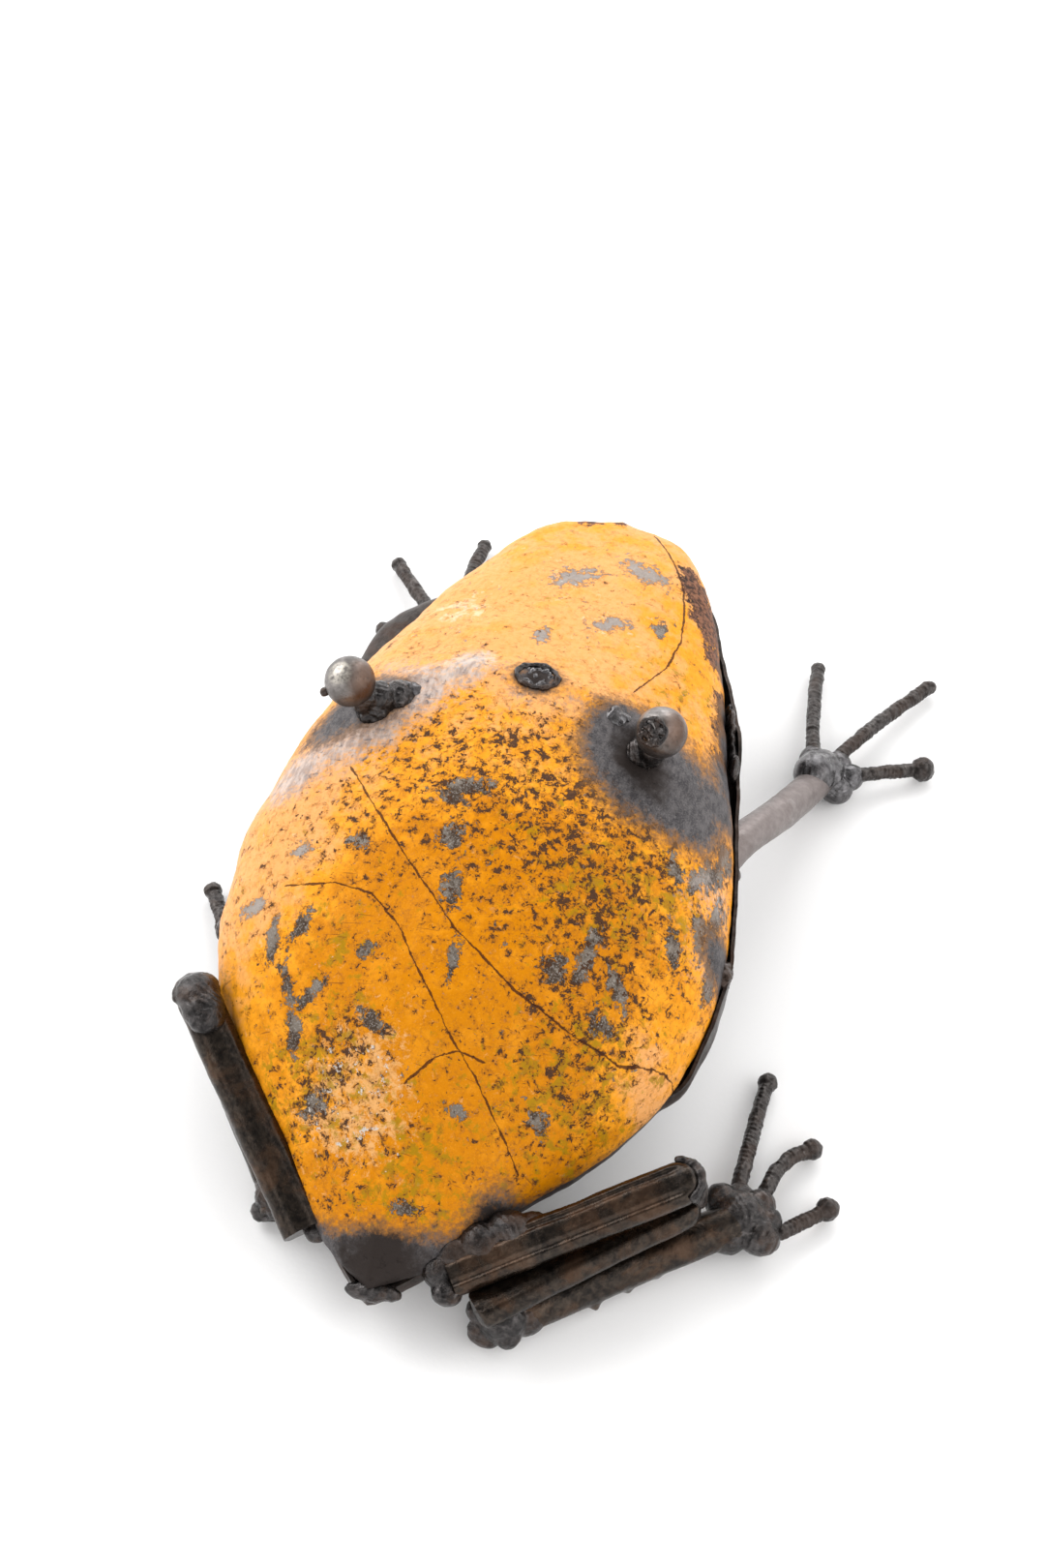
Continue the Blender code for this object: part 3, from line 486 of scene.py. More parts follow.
def distance_to(plan, line):
    """Signed distance from each point to a plan polyline, and how far past its ends the point lies."""
    line = np.array(line, float)
    best = np.full(plan.shape[:-1], 1e9)
    signed, beyond = np.zeros_like(best), np.zeros_like(best)
    for k, (a, b) in enumerate(zip(line, line[1:])):
        run = b - a
        length = np.linalg.norm(run)
        run = run / length
        along = (plan - a) @ run
        side = (plan - a) @ np.array((-run[1], run[0]))
        low = -1e9 if k == 0 else 0
        high = 1e9 if k == len(line) - 2 else length
        away = np.hypot(side, along - np.clip(along, low, high))
        nearer = away < best
        best = np.where(nearer, away, best)
        signed = np.where(nearer, np.copysign(away, side), signed)
        past = np.maximum(-along if k == 0 else -1, (along - length) if k == len(line) - 2 else -1)
        beyond = np.where(nearer, past, beyond)
    return signed, np.maximum(beyond, 0)


def ragged(ring, seed):
    """An uneven hand-cut edge: how far it wanders at each point of the outline."""
    return layered(np.column_stack([ring, np.zeros(len(ring))]), HAND_CUT, seed)


def dome_surface(ring, out):
    """The upper shell's outer skin as rows of points in mm, from the rim to the crown."""
    theta = np.linspace(math.pi / 2, 0, DOME_ROWS, endpoint=False)[:, None]
    lean = np.sin(theta)
    edge = ring + out * ragged(ring, 3)[:, None]
    plan = np.array(BODY_CENTRE) + (edge - BODY_CENTRE) * lean[..., None]
    seam = seam_height(ring[:, 1]) * lean + seam_height(plan[..., 1]) * (1 - lean)
    height = seam + (crown_height(plan[..., 1]) - seam) * np.cos(theta) ** DOME_FULLNESS
    points = np.dstack([plan, height])
    crown = np.array((*BODY_CENTRE, crown_height(BODY_CENTRE[1])))
    return np.vstack([points.reshape(-1, 3), crown])


def shell(points, rows, around, thickness, mould):
    """A closed sheet-metal shell in mm from an outer skin of rings that ends in a pole, hammered by mould."""
    skin = [grid_faces(rows, around), fan(np.arange((rows - 1) * around, rows * around), rows * around)]
    out = normals_of(points, skin)
    outside = points - np.array((*BODY_CENTRE, 70.0))
    if (out * outside).sum() < 0:
        out = -out
    points = points + out * mould(points)[:, None]
    count = len(points)
    inner = points - out * thickness
    edge = np.arange(around)
    following = np.roll(edge, -1)
    rim = np.stack([edge, following, following + count, edge + count], -1)
    faces = [*skin, *[part + count for part in skin], rim]
    return np.vstack([points, inner]), faces


def hammered(points):
    """How far the finished back stands out from the plain form at each point."""
    plan = points[:, :2]
    rise = layered(points, HAMMERING, 5)
    rise -= spots(plan, DENTS)
    away, _ = distance_to(plan, BROW_LINE)
    on_brow = smooth_step(92, 60, np.abs(plan[:, 0] - 2))
    rise += BROW_HEIGHT * np.exp(-((away / BROW_WIDTH) ** 2)) * on_brow
    edge_fade = smooth_step(0, 14, points[:, 2] - seam_height(plan[:, 1]))
    return rise * (0.25 + 0.75 * edge_fade)


def chip_field(plan):
    """Rises from 0 outside the bare patches to 1 in their middles."""
    field = np.zeros(len(plan))
    for right, forward, half_length, half_width, turn in CHIPS:
        a = math.radians(turn)
        x, y = plan[:, 0] - right, plan[:, 1] - forward
        u, v = x * math.cos(a) + y * math.sin(a), y * math.cos(a) - x * math.sin(a)
        field = np.maximum(field, 1 - np.hypot(u / half_length, v / half_width) / 2)
    return field


def paint_marks(points):
    """The attributes that tell the paint where it is deep, pale, burnt, worn, chipped or cracked, and where
    painted highlights fall.
    """
    plan = points[:, :2]
    marks = {
        "tone_and_highlight": np.clip(0.35 + spots(plan, DEEP_TONE) - spots(plan, PALE_TONE_AND_HIGHLIGHT), 0, 1),
        "speck": np.clip(0.28 + spots(plan, SPECKS), 0, 1),
        "stain": np.clip(spots(plan, STAINS), 0, 1),
        "wear_and_highlight": np.clip(spots(plan, WEAR_AND_HIGHLIGHT), 0, 1),
        "burn": np.clip(spots(plan, BURNS), 0, 1.5),
        "ash": np.clip(spots(plan, ASH), 0, 1),
        "soot_and_shade": np.clip(spots(plan, SOOT), 0, 1),
        "chip": chip_field(plan),
        "flake": np.clip(spots(plan, FLAKES), 0, 1.2),
    }
    for name, line in CRACKS.items():
        signed, beyond = distance_to(plan, line)
        marks[name] = np.stack([signed, beyond, np.zeros_like(signed)], -1)
    return marks


def back_shell(look):
    """The painted upper half of the body."""
    ring, out = plan_outline(AROUND)
    points, faces = shell(dome_surface(ring, out), DOME_ROWS, AROUND, SHEET, hammered)
    marks = paint_marks(points)
    height = points[:, 2] - seam_height(points[:, 1])
    marks["edge"] = smooth_step(7, 0, height)
    piece("back_shell_painted", rows_at(points), faces, look, ["back_shell"], marks)


def rim_line(ring):
    """Reach and lift of the belly's rim along the outline."""
    reach, lift = np.zeros(len(ring)), np.zeros(len(ring))
    on_right = ring[:, 0] > SNOUT_SWING * np.clip(ring[:, 1], 0, None) / SNOUT
    for side, chosen in ((1, on_right), (-1, ~on_right)):
        keys = np.array(RIM[side], float)
        for (ya, ra, la), (yb, rb, lb) in zip(keys, keys[1:]):
            here = chosen & (ring[:, 1] >= ya - (1 if ya == TAIL else 0)) & (ring[:, 1] <= yb)
            ease = smooth_step(ya, yb, ring[:, 1])
            reach = np.where(here, ra + (rb - ra) * ease, reach)
            lift = np.where(here, la + (lb - la) * ease, lift)
    return reach, lift


def belly_hammered(points):
    return layered(points, BELLY_HAMMERING, 21)


def belly_shell(look):
    """The dark lower half: a skirt round the seam, which tucks in as the jaw on the left, and a pan."""
    ring, out = plan_outline(AROUND)
    reach, lift = rim_line(ring)
    flat = np.column_stack([ring, np.zeros(len(ring))])
    corner = np.exp(-(((ring[:, 1] - 30) / 45) ** 2)) * (ring[:, 0] > 0)
    torn = np.round(cloud(flat, 13, 7) * 3) * 1.1 * corner
    lift = lift + ragged(ring, 11) * 1.3 + torn
    reach = reach + cloud(flat, 9, 9) * 0.5
    seam = seam_height(ring[:, 1])
    base = seam_height(BODY_CENTRE[1])
    rows = []
    foot = np.minimum(lift, 0) - RIM_SKIRT
    jaw = smooth_step(0, 26, ring[:, 1]) * smooth_step(138, 70, ring[:, 1]) * (ring[:, 0] < 0)
    top = lift * (1 - jaw) - JAW_TUCK * jaw
    for k in range(SKIRT_ROWS):
        share = k / SKIRT_ROWS
        round_out = math.sin(share * math.pi / 2)
        spread = reach * (1 - jaw * (1 - round_out)) - 2 * JAW_TUCK * jaw * (1 - round_out)
        drop = share * (1 - jaw) + (1 - math.cos(share * math.pi / 2)) * jaw
        rows.append(np.column_stack([ring + out * spread[:, None], seam + top + (foot - top) * drop]))
    for t in np.linspace(0, math.pi / 2, BELLY_ROWS, endpoint=False):
        lean = math.cos(t)
        plan = np.array(BODY_CENTRE) + (ring + out * reach[:, None] - BODY_CENTRE) * lean
        sag = BELLY_DEPTH * math.sin(t) ** BELLY_FULLNESS
        height = seam * lean + base * (1 - lean) + foot * lean - sag
        rows.append(np.column_stack([plan, height]))
    keel = np.array((*BODY_CENTRE, base - BELLY_DEPTH))
    skin = np.vstack([*rows, keel])
    points, faces = shell(skin, len(rows), AROUND, SHEET, belly_hammered)
    marks = {"edge": smooth_step(-6, 3, points[:, 2] - seam_height(points[:, 1]))}
    piece("belly_shell_dark", rows_at(points), faces, look, ["belly_shell"], marks)


# ---------------------------------------------------------------- swept pieces
def frames(path, upward):
    """Side and up directions along a path."""
    ahead = np.gradient(path, axis=0)
    ahead /= np.linalg.norm(ahead, axis=1, keepdims=True)
    side = np.cross(ahead, upward)
    side /= np.linalg.norm(side, axis=1, keepdims=True)
    return side, np.cross(side, ahead)


def swept(path, sections, upward=(0, 0, 1)):
    """Rings of points (metres) from a path in metres and one section in mm for each of its points."""
    side, up = frames(path, np.array(upward, float))
    x, y = sections[..., 0, None], sections[..., 1, None]
    return path[:, None] + (side[:, None] * x + up[:, None] * y) * MM


def drops(points, places):
    """Height of round drops of weld about 2 mm across at these places."""
    total = np.zeros(len(points))
    for place, height in places:
        away = ((points - np.array(at(*place)) / MM) ** 2).sum(1)
        total += height * np.exp(-away / DROP_SPREAD)
    return total


def closed_bar(name, rings, look, node, layers, seed, places=()):
    """A solid bar from rings, with both ends capped, under relief and drops of weld at some places."""
    rows, around = rings.shape[:2]
    points = rings.reshape(-1, 3)
    tips = np.stack([rings[0].mean(0), rings[-1].mean(0)])
    points = np.vstack([points, tips])
    faces = [
        grid_faces(rows, around),
        fan(np.arange(around), rows * around, flip=True),
        fan(np.arange((rows - 1) * around, rows * around), rows * around + 1),
    ]
    out = normals_of(points, faces)
    middle = np.repeat(rings.mean(1), around, axis=0)
    if (out[:-2] * (points[:-2] - middle)).sum() < 0:
        out = -out
    height = layered(points / MM, layers, seed) + drops(points / MM, places)
    points = points + out * height[:, None] * MM
    piece(name, points, faces, look, [node], {"high": height})


def toe_rods(look):
    """Rods covered in weld, each run overlapping the last, with a round welded tip."""
    for seed, (name, (route, tip)) in enumerate(TOES.items()):
        end, _, _, side = name.split("_")
        bead_at = np.array(BEAD_OF[f"{end}_{side}"])
        buried = bead_at + (np.array(route[0]) - bead_at) * TOE_ROOT
        line = curve_through([at(*p) for p in (buried, *route)], 20)
        length = np.linalg.norm(np.diff(line, axis=0), axis=1).sum() / MM
        count = int(length / TOE_STEP)
        line = evenly(line, count)
        gone = np.linspace(0, length, count)
        left = length - gone
        knob = np.sqrt(np.clip(tip**2 - (left - tip) ** 2, 0, None))
        radius = np.where(left < tip, knob, np.maximum(ROD * TOE_THICKNESS, knob))
        radius = np.maximum(radius, 0.05)
        turn = np.linspace(0, 2 * math.pi, TOE_AROUND, endpoint=False)
        phase = gone[:, None] / RIPPLE_PITCH + 0.25 * np.cos(turn + seed)
        phase += 0.35 * np.sin(gone / 5 + seed)[:, None]
        ripple = RIPPLE_HEIGHT * (1 - 2 * np.abs(phase % 1 - 0.5)) * (left > 1.5)[:, None]
        grown = radius[:, None] + ripple * np.minimum(radius / ROD, 1)[:, None]
        sections = np.stack([grown * np.cos(turn), grown * np.sin(turn)], -1)
        rings = swept(line, sections)
        closed_bar(name + "_rod", rings, look, name, TOE_CRUST, 40 + seed)


def dished_oval(half_width, half_thickness, dish, groove):
    """A pipe hammered flat: round edges, a shallow dish and two grooves along its broad faces."""
    t = 2 * math.pi * (np.arange(LEG_AROUND) + 0.5) / LEG_AROUND
    x = np.copysign(np.abs(np.cos(t)) ** 0.8, np.cos(t))
    channel = 1 - dish * np.clip(1 - (x / 0.82) ** 2, 0, 1) ** 2
    channel -= groove * np.exp(-(((np.abs(x) - 0.52) / 0.13) ** 2))
    return np.stack([half_width * x, half_thickness * np.sin(t) * channel], -1)


def flattened_tube(node, start, end, tilt, round_start, round_end, look, seed, hammering):
    """A flattened tube between two places; its ends can close like the bowl of a spoon.

    round_start says whether the start does, and round_end is the length that closes at the end.
    """
    a, b = np.array(at(*start)), np.array(at(*end))
    run = Vector(b - a).normalized()
    upward = Matrix.Rotation(math.radians(tilt), 3, run) @ Vector((0, 0, 1))
    length = np.linalg.norm(b - a) / MM
    count = int(length / BAR_STEP)
    path = a + (b - a) * np.linspace(0, 1, count)[:, None]
    width, thick = LEG_TUBE
    sections = []
    for s in np.linspace(0, length, count):
        share = 1.0
        if s > length - round_end:
            share = math.sqrt(max(1 - ((s - length + round_end) / round_end) ** 2, 0.0004))
        if round_start and s < width:
            share = min(share, math.sqrt(max(1 - ((width - s) / width) ** 2, 0.0004)))
        near = min(s if round_start else 99, length - s if round_end > 5 else 99)
        dish, groove = (depth * float(smooth_step(3, 11, near)) for depth in hammering)
        sections.append(dished_oval(width * share, thick * min(1, share * 1.5), dish, groove))
    rings = swept(path, np.array(sections), upward)
    closed_bar(f"{node}_tube", rings, look, node, LEG_DENTS, seed)


def round_tube(node, route, radius, look, seed, layers, places=()):
    """A round tube along a route, closed inside its end welds, with drops of weld on it."""
    line = curve_through([at(*p) for p in route], 20)
    length = np.linalg.norm(np.diff(line, axis=0), axis=1).sum() / MM
    line = evenly(line, int(length / BAR_STEP))
    t = np.linspace(0, 2 * math.pi, BAR_AROUND, endpoint=False)
    section = np.stack([radius * np.cos(t), radius * np.sin(t)], -1)
    rings = swept(line, np.repeat(section[None], len(line), 0))
    closed_bar(f"{node}_tube", rings, look, node, layers, seed, places)


def legs(tube_look, arm_look):
    """Hind legs folded like a Z, and the bent arms."""
    for side, leg in HIND.items():
        out = leg["out"]
        flattened_tube(
            f"thigh_{side}", leg["hip"], leg["knee"], THIGH_TILT * out, False, LEG_TUBE[0],
            tube_look, 51 + out, leg["hammering"],
        )
        flattened_tube(
            f"shin_{side}", leg["shin_top"], leg["heel_top"], leg["shin_tilt"], True, 3.0,
            tube_look, 55 + out, (0.10, 0.05),
        )
        round_tube(
            f"foot_{side}", [leg["heel"], leg["ankle"]], FOOT_TUBE - SNUG_FOOT, tube_look,
            59 + out, FOOT_DENTS, FOOT_DROPS if side == "right" else (),
        )
    for side, route in ARMS.items():
        round_tube(
            f"arm_{side}", route, ARM_TUBE - SNUG_ARM, arm_look, len(side), ARM_DENTS,
        )


# ---------------------------------------------------------------- welds
def cluster(centre, radii, seed, count=8):
    """Lumps that together make a weld of about these radii."""
    pick = random.Random(seed)
    lumps = [(*centre, *(0.82 * r for r in radii))]
    for _ in range(count):
        away = Vector([pick.gauss(0, 1) for _ in range(3)]).normalized() * 0.66
        place = [c + a * r for c, a, r in zip(centre, away, radii)]
        lumps.append((*place, pick.uniform(0.26, 0.5) * min(radii)))
    return lumps


def knee_lip(side):
    """The lip of weld round a thigh's rounded end, reaching down to the shin."""
    end, hip, low = (HIND[side][place] for place in ("knee", "hip", "shin_top"))
    along = math.atan2(end[1] - hip[1], end[0] - hip[0])
    width = LEG_TUBE[0]
    middle = (end[0] - width * math.cos(along), end[1] - width * math.sin(along))
    lumps = []
    for k, turn in enumerate(np.radians(np.arange(-72, 73, 8))):
        fade = max(0.0, 1 - abs(turn) / 1.3)
        for share in np.linspace(0, 1, 7):
            up = low[2] - 2 + (end[2] - low[2] + 3.4) * (share * fade + 1 - fade)
            drift = [(b - a) * (1 - share) * fade for a, b in zip(end, low)]
            place = (middle[0] + (width + 0.4) * math.cos(along + turn) + drift[0],
                     middle[1] + (width + 0.4) * math.sin(along + turn) + drift[1], up)
            lumps.append((*place, 0.9 + 1.8 * math.sqrt(fade) + 0.15 * math.sin(1.7 * k + 5 * share)))
    return lumps


def ring_of(centre, facing, radii, wire, count):
    """Small lumps in an oval ring round an axis."""
    facing = Vector(facing).normalized()
    side = Vector((1, 0, 0)) - facing * facing.x
    side.normalize()
    up = facing.cross(side)
    lumps = []
    for k in range(count):
        a = 2 * math.pi * k / count
        place = Vector(centre) + side * radii[0] * math.cos(a) + up * radii[1] * math.sin(a)
        lumps.append((*place, wire * (1 + 0.16 * math.sin(5 * a + 1) + 0.1 * math.sin(11 * a))))
    return lumps


def crater(centre, facing, radius, seed, count):
    """Spatter heaped on a disc."""
    pick = random.Random(seed)
    facing = Vector(facing).normalized()
    side = facing.orthogonal().normalized()
    lumps = []
    for _ in range(count):
        turn = Matrix.Rotation(pick.uniform(0, 6.28), 3, facing)
        place = Vector(centre) + turn @ side * radius * math.sqrt(pick.random())
        lumps.append((*(place + facing * pick.uniform(-0.5, 0.5)), pick.uniform(0.9, 1.7)))
    return lumps


EYE_TO_PUPIL = Vector(PUPIL_FACING["right"]).normalized()
PUPIL_AT = Vector(EYE_AT["right"]) + EYE_TO_PUPIL * (EYE_BALL + 0.1)
LEFT_PUPIL_AT = Vector(EYE_AT["left"]) + Vector(PUPIL_FACING["left"]).normalized() * (EYE_BALL + 0.6)
BROW_AT = (5, 5, 129.9)
EDGE_PLATES = [  # torn pieces of sheet welded along the right corner of the mouth
    (91 - 0.28 * (f - 20), f, 72 + 3 * math.sin(f), 1.7, 4.6, 7.5 + 1.8 * math.sin(1.7 * f))
    for f in range(20, 60, 5)
]
WELDS = {  # node: (lumps, relief, size of its grid)
    "hip_weld_right": ([
        (31, -218, 34, 10, 9, 7), (40, -213, 38, 10, 9, 7), (50, -206, 41, 10, 8, 6.5),
        (59, -201, 41, 7, 5, 4), (26, -226, 31, 7, 8, 6.5), (31, -234, 29, 6.5, 5.5, 5),
    ], SMOOTH, 0.6),
    "hip_weld_left": ([
        (-33, -211, 30, 6, 10, 5.5), (-28, -219, 28, 6, 7, 5), (-38, -204, 33, 5, 7, 5),
    ], SMOOTH, 0.6),
    "knee_weld_right": (knee_lip("right"), SMOOTH, 0.7),
    "knee_weld_left": (knee_lip("left") + [
        (-101, -147, 66.8, 9.7, 9.7, 7), (-97, -152, 66, 9.2, 9.2, 6.9), (-94, -156, 65, 8, 8, 6.9),
    ], SMOOTH, 0.6),
    "heel_weld_right": ([
        (53, -232, 13, 11, 10, 12), (61, -226, 10, 9), (48, -236, 8, 8, 7, 7), (46, -233, 18, 7, 6, 6),
        (57, -237, 11, 6),
    ], SMOOTH, 0.6),
    "heel_weld_left": ([
        (-51, -203, 13, 10.5, 7.5, 12), (-57, -206, 6, 5), (-47, -207, 20, 4.5),
    ], CRUSTY, 0.7),
    "ankle_weld_right": ([
        (136, -162, 12, 13, 12, 11.5), (146, -167, 11, 9, 8, 9), (127, -156, 14, 7),
        (149, -160, 13, 5), (133, -172, 11, 8, 6, 8), (143, -153, 11, 7), (134, -151, 11, 6),
    ], SMOOTH, 0.6),
    "ankle_weld_left": (cluster((-89, -129, 11), (14, 14, 12), 4), CRUSTY, 0.7),
    "wrist_weld_right": ([
        (123, 78, 13, 11.5, 11.5, 11), (121, 72, 19, 9.8, 9.8, 9.6), (124, 78, 15, 10, 10, 9),
        (132, 74, 8, 8, 7, 7), (137, 82, 9, 6.5), (118, 88, 9, 6.5), (130, 88, 9, 6.5),
    ], SMOOTH, 0.6),
    "wrist_weld_left": (cluster((-70, 112, 9.5), (12, 12, 11), 6), SMOOTH, 0.7),
    "shoulder_weld_right": (cluster((91, -22, 50), (13, 14, 12), 7), CRUSTY, 0.7),
    "shoulder_weld_left": (cluster((-92, -22, 50), (13, 14, 12), 9), CRUSTY, 0.7),
    "eye_weld_right": ([
        (53, -13, 111, 12, 12, 7), (57, -15, 119, 8), (49, -22, 112, 8, 7, 5), (44, -12, 112, 7, 6, 5),
        (61, -17, 125, 6.5), (50, -27, 109, 4), (63, -22, 109, 5), (46, -6, 113, 4),
    ], MELTED, 0.5),
    "eye_weld_left": ([
        (-56, -20, 109, 12, 12, 7), (-60, -21, 118, 8), (-50, -14, 114, 9, 8, 7), (-64, -22, 125, 6.5),
        (-55, -31, 106, 8, 6, 5), (-46, -15, 113, 7), (-62, -31, 104, 5), (-58, -18, 122, 7.5),
        (-51, -13, 119, 8),
    ], MELTED, 0.5),
    "eye_bead_right": (cluster((41, -3, 122), (7, 6, 5), 3, 5), SMOOTH, 0.4),
    "eye_bead_left": (cluster((-47, -10, 121), (6.5, 5.5, 5), 5, 6), SMOOTH, 0.4),
    "eye_stud_right": (
        ring_of(PUPIL_AT, EYE_TO_PUPIL, (5.7, 5.7), 0.95, 26)
        + crater(PUPIL_AT - EYE_TO_PUPIL, EYE_TO_PUPIL, 4.4, 3, 26),
        [(2.2, 0.3), (1.0, 0.2)], 0.3,
    ),
    "eye_stud_left": (cluster(LEFT_PUPIL_AT, (2.6, 2.6, 2.6), 8, 4), SMOOTH, 0.3),
    "brow_ring": (
        ring_of(BROW_AT, (0.05, 0.1, 1), (8.8, 6.6), 1.25, 46), [(5, 0.25), (2, 0.2), (1, 0.1)], 0.35,
    ),
    "brow_plug": (crater((5, 5, 128.6), (0, 0.1, 1), 6.2, 12, 60), [(2.4, 0.6), (1.1, 0.35)], 0.35),
    "tack_mouth_right": (EDGE_PLATES, [(7, 0.5), (2.5, 0.4), (1, 0.15)], 0.5),
    "tack_mouth_left": (cluster((-103, -48, 60), (5, 8, 6), 21, 6), CRUSTY, 0.5),
    "tack_flank_right": (cluster((108, -75, 56), (5, 9, 7), 22, 6), CRUSTY, 0.5),
    "tack_flank_left": (cluster((-106, -100, 48), (5, 9, 6), 23, 6), CRUSTY, 0.5),
    "tack_tail": ([(-1, -240.5, 25, 9, 3.4, 5), (6, -239, 26, 8, 3.2, 4)], SMOOTH, 0.5),
}
BRIGHT_WELDS = ("wrist_weld_right", "eye_bead_right", "eye_bead_left", "brow_plug")


def weld(node, look, seed):
    """A weld bead made of joined lumps."""
    lumps, layers, voxel = WELDS[node]
    points, faces = joined(lumps, voxel, 9)
    finish_weld(node, points, faces, look, seed, layers)


def stem(node, look, seed):
    """The CAD stem under a skin of weld."""
    points, faces = remeshed(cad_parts[node].data.copy(), 0.5, 3)
    finish_weld(node, points, faces, look, seed, SMOOTH)


def finish_weld(node, points, faces, look, seed, layers):
    """The finished bead, with relief and the overlapping ripples of each run on its skin."""
    out = normals_of(points, [faces])
    place = points / MM
    middle = place.mean(0)
    if (out * (place - middle)).sum() < 0:
        out = -out
    reach = np.abs(place - middle).max()
    focus = middle + np.array((math.cos(seed), math.sin(seed), 0.4)) * reach * 0.7
    phase = np.linalg.norm(place - focus, axis=1) / RIPPLE_PITCH + 0.5 * cloud(place, 7, seed + 3)
    rippled = smooth_step(-0.25, 0.25, cloud(place, 10, seed + 5))
    waves = BEAD_RIPPLE * (1 - 2 * np.abs(phase % 1 - 0.5)) * rippled
    height = layered(place, layers, seed) + waves * min(1, reach / 9)
    points = points + out * height[:, None] * MM
    piece(node + "_bead", points, [faces], look, [node], {"high": height})


def eye_ball(side, look):
    """A worn steel ball, darker towards the bottom as painted shade; the left one has a painted highlight on
    top, and both have a patch of heat tint.
    """
    bm = bmesh.new()
    bmesh.ops.create_icosphere(bm, subdivisions=6, radius=1)
    unit = np.array([v.co for v in bm.verts])
    faces = np.array([[v.index for v in f.verts] for f in bm.faces])
    bm.free()
    worn = layered(unit * EYE_BALL, BALL_WEAR, 60 + len(side))
    points = np.array(at(*EYE_AT[side])) + unit * (EYE_BALL - BALL_ROOM + worn)[:, None] * MM
    highlight_at, tint_at = (np.array(Vector(way).normalized()) for way in (HIGHLIGHT_FACING, TINT_FACING))
    marks = {
        # painted highlight: a pale patch on top of the left ball, where the key light's highlight falls
        "painted_highlight": smooth_step(0.80, 0.97, unit @ highlight_at) * (side == "left"),
        "tint": smooth_step(0.3, 0.9, unit @ tint_at),
        # painted shade: the ball darker towards the bottom
        "soot_and_shade": smooth_step(0.9, -0.5, unit[:, 2]) * BALL_UNDERSHADE[side],
    }
    piece(f"eye_ball_{side}_steel", points, [faces], look, [f"eye_ball_{side}"], marks)


# ---------------------------------------------------------------- materials
class Graph:
    """A material's node tree, with short calls to add nodes."""

    def __init__(self, name):
        self.material = bpy.data.materials.new(name)
        self.material.use_nodes = True
        self.tree = self.material.node_tree
        self.shader = self.tree.nodes["Principled BSDF"]
        self.place = self.node("ShaderNodeTexCoord").outputs["Object"]

    def node(self, kind, inputs=None, **settings):
        made = self.tree.nodes.new(kind)
        for key, value in settings.items():
            setattr(made, key, value)
        for key, value in (inputs or {}).items():
            self.put(made.inputs[key], value)
        return made

    def put(self, socket, value):
        if isinstance(value, bpy.types.NodeSocket):
            self.tree.links.new(value, socket)
        elif isinstance(value, tuple) and len(value) == 3 and socket.type == "RGBA":
            socket.default_value = (*value, 1)
        else:
            socket.default_value = value

    def vector(self, operation, inputs):
        return self.node("ShaderNodeVectorMath", inputs, operation=operation).outputs[0]

    def warped(self, size_mm, amount_mm):
        """The place of each point, pushed about so that edges come out jagged."""
        settings = {"Vector": self.place, "Scale": 1000 / size_mm, "Detail": 4.0}
        push = self.node("ShaderNodeTexNoise", settings).outputs["Color"]
        push = self.vector("SUBTRACT", {0: push, 1: (0.5, 0.5, 0.5)})
        push = self.vector("SCALE", {0: push, "Scale": 2 * amount_mm * MM})
        return self.vector("ADD", {0: self.place, 1: push})

    def noise(
        self, size_mm, detail=3.0, roughness=0.55, distortion=0.0, stretch=None, turn=(0, 0, 0), at=None
    ):
        """Noise whose lumps are about this many mm wide; stretch is (x, y, z) for drawn-out lumps."""
        place = at or self.place
        if stretch:
            settings = {"Vector": place, "Scale": stretch, "Rotation": turn}
            place = self.node("ShaderNodeMapping", settings).outputs[0]
        found = self.node("ShaderNodeTexNoise", {
            "Vector": place, "Scale": 1000 / size_mm, "Detail": detail, "Roughness": roughness,
            "Distortion": distortion,
        })
        return found.outputs["Fac"]

    def strokes(self, kinds, low, high):
        """Thin drawn lines in several directions, as (turn in radians, length in mm)."""
        found = None
        for turn, length in kinds:
            drawn = self.noise(length, 3, 0.5, stretch=(1, 18, 1), turn=(0.2 * turn, 0.1, turn))
            line = self.step(drawn, low, high)
            found = line if found is None else self.most(found, line)
        return found

    def math(self, operation, *values):
        return self.node("ShaderNodeMath", dict(enumerate(values)), operation=operation).outputs[0]

    def add(self, a, b):
        return self.math("ADD", a, b)

    def minus(self, a, b):
        return self.math("SUBTRACT", a, b)

    def times(self, a, b):
        return self.math("MULTIPLY", a, b)

    def most(self, a, b):
        return self.math("MAXIMUM", a, b)

    def line(self, value, slope, start):
        return self.math("MULTIPLY_ADD", value, slope, start)

    def reach(self, value, mark, amount):
        """A noise raised where a mark on the surface says so."""
        return self.line(self.mark(mark), amount, value)

    def step(self, value, low, high, to_low=0.0, to_high=1.0):
        return self.node("ShaderNodeMapRange", {
            "Value": value, "From Min": low, "From Max": high, "To Min": to_low, "To Max": to_high,
        }, interpolation_type="SMOOTHSTEP").outputs[0]

    def mix(self, share, a, b):
        return self.node("ShaderNodeMix", {0: share, 6: a, 7: b}, data_type="RGBA").outputs[2]

    def mark(self, name, vector=False):
        found = self.node("ShaderNodeAttribute", attribute_name=name)
        return found.outputs["Vector" if vector else "Fac"]

    def finish(self, colour, roughness, metallic, height, depth_mm, **constants):
        """The material, with these on its shader and the height as a bump of this depth."""
        self.put(self.shader.inputs["Base Color"], colour)
        self.put(self.shader.inputs["Roughness"], roughness)
        self.put(self.shader.inputs["Metallic"], metallic)
        bump = self.node("ShaderNodeBump", {"Height": height, "Distance": depth_mm * MM, "Strength": 1.0})
        self.put(self.shader.inputs["Normal"], bump.outputs[0])
        for key, value in constants.items():
            self.shader.inputs[key.replace("_", " ")].default_value = value
        return self.material


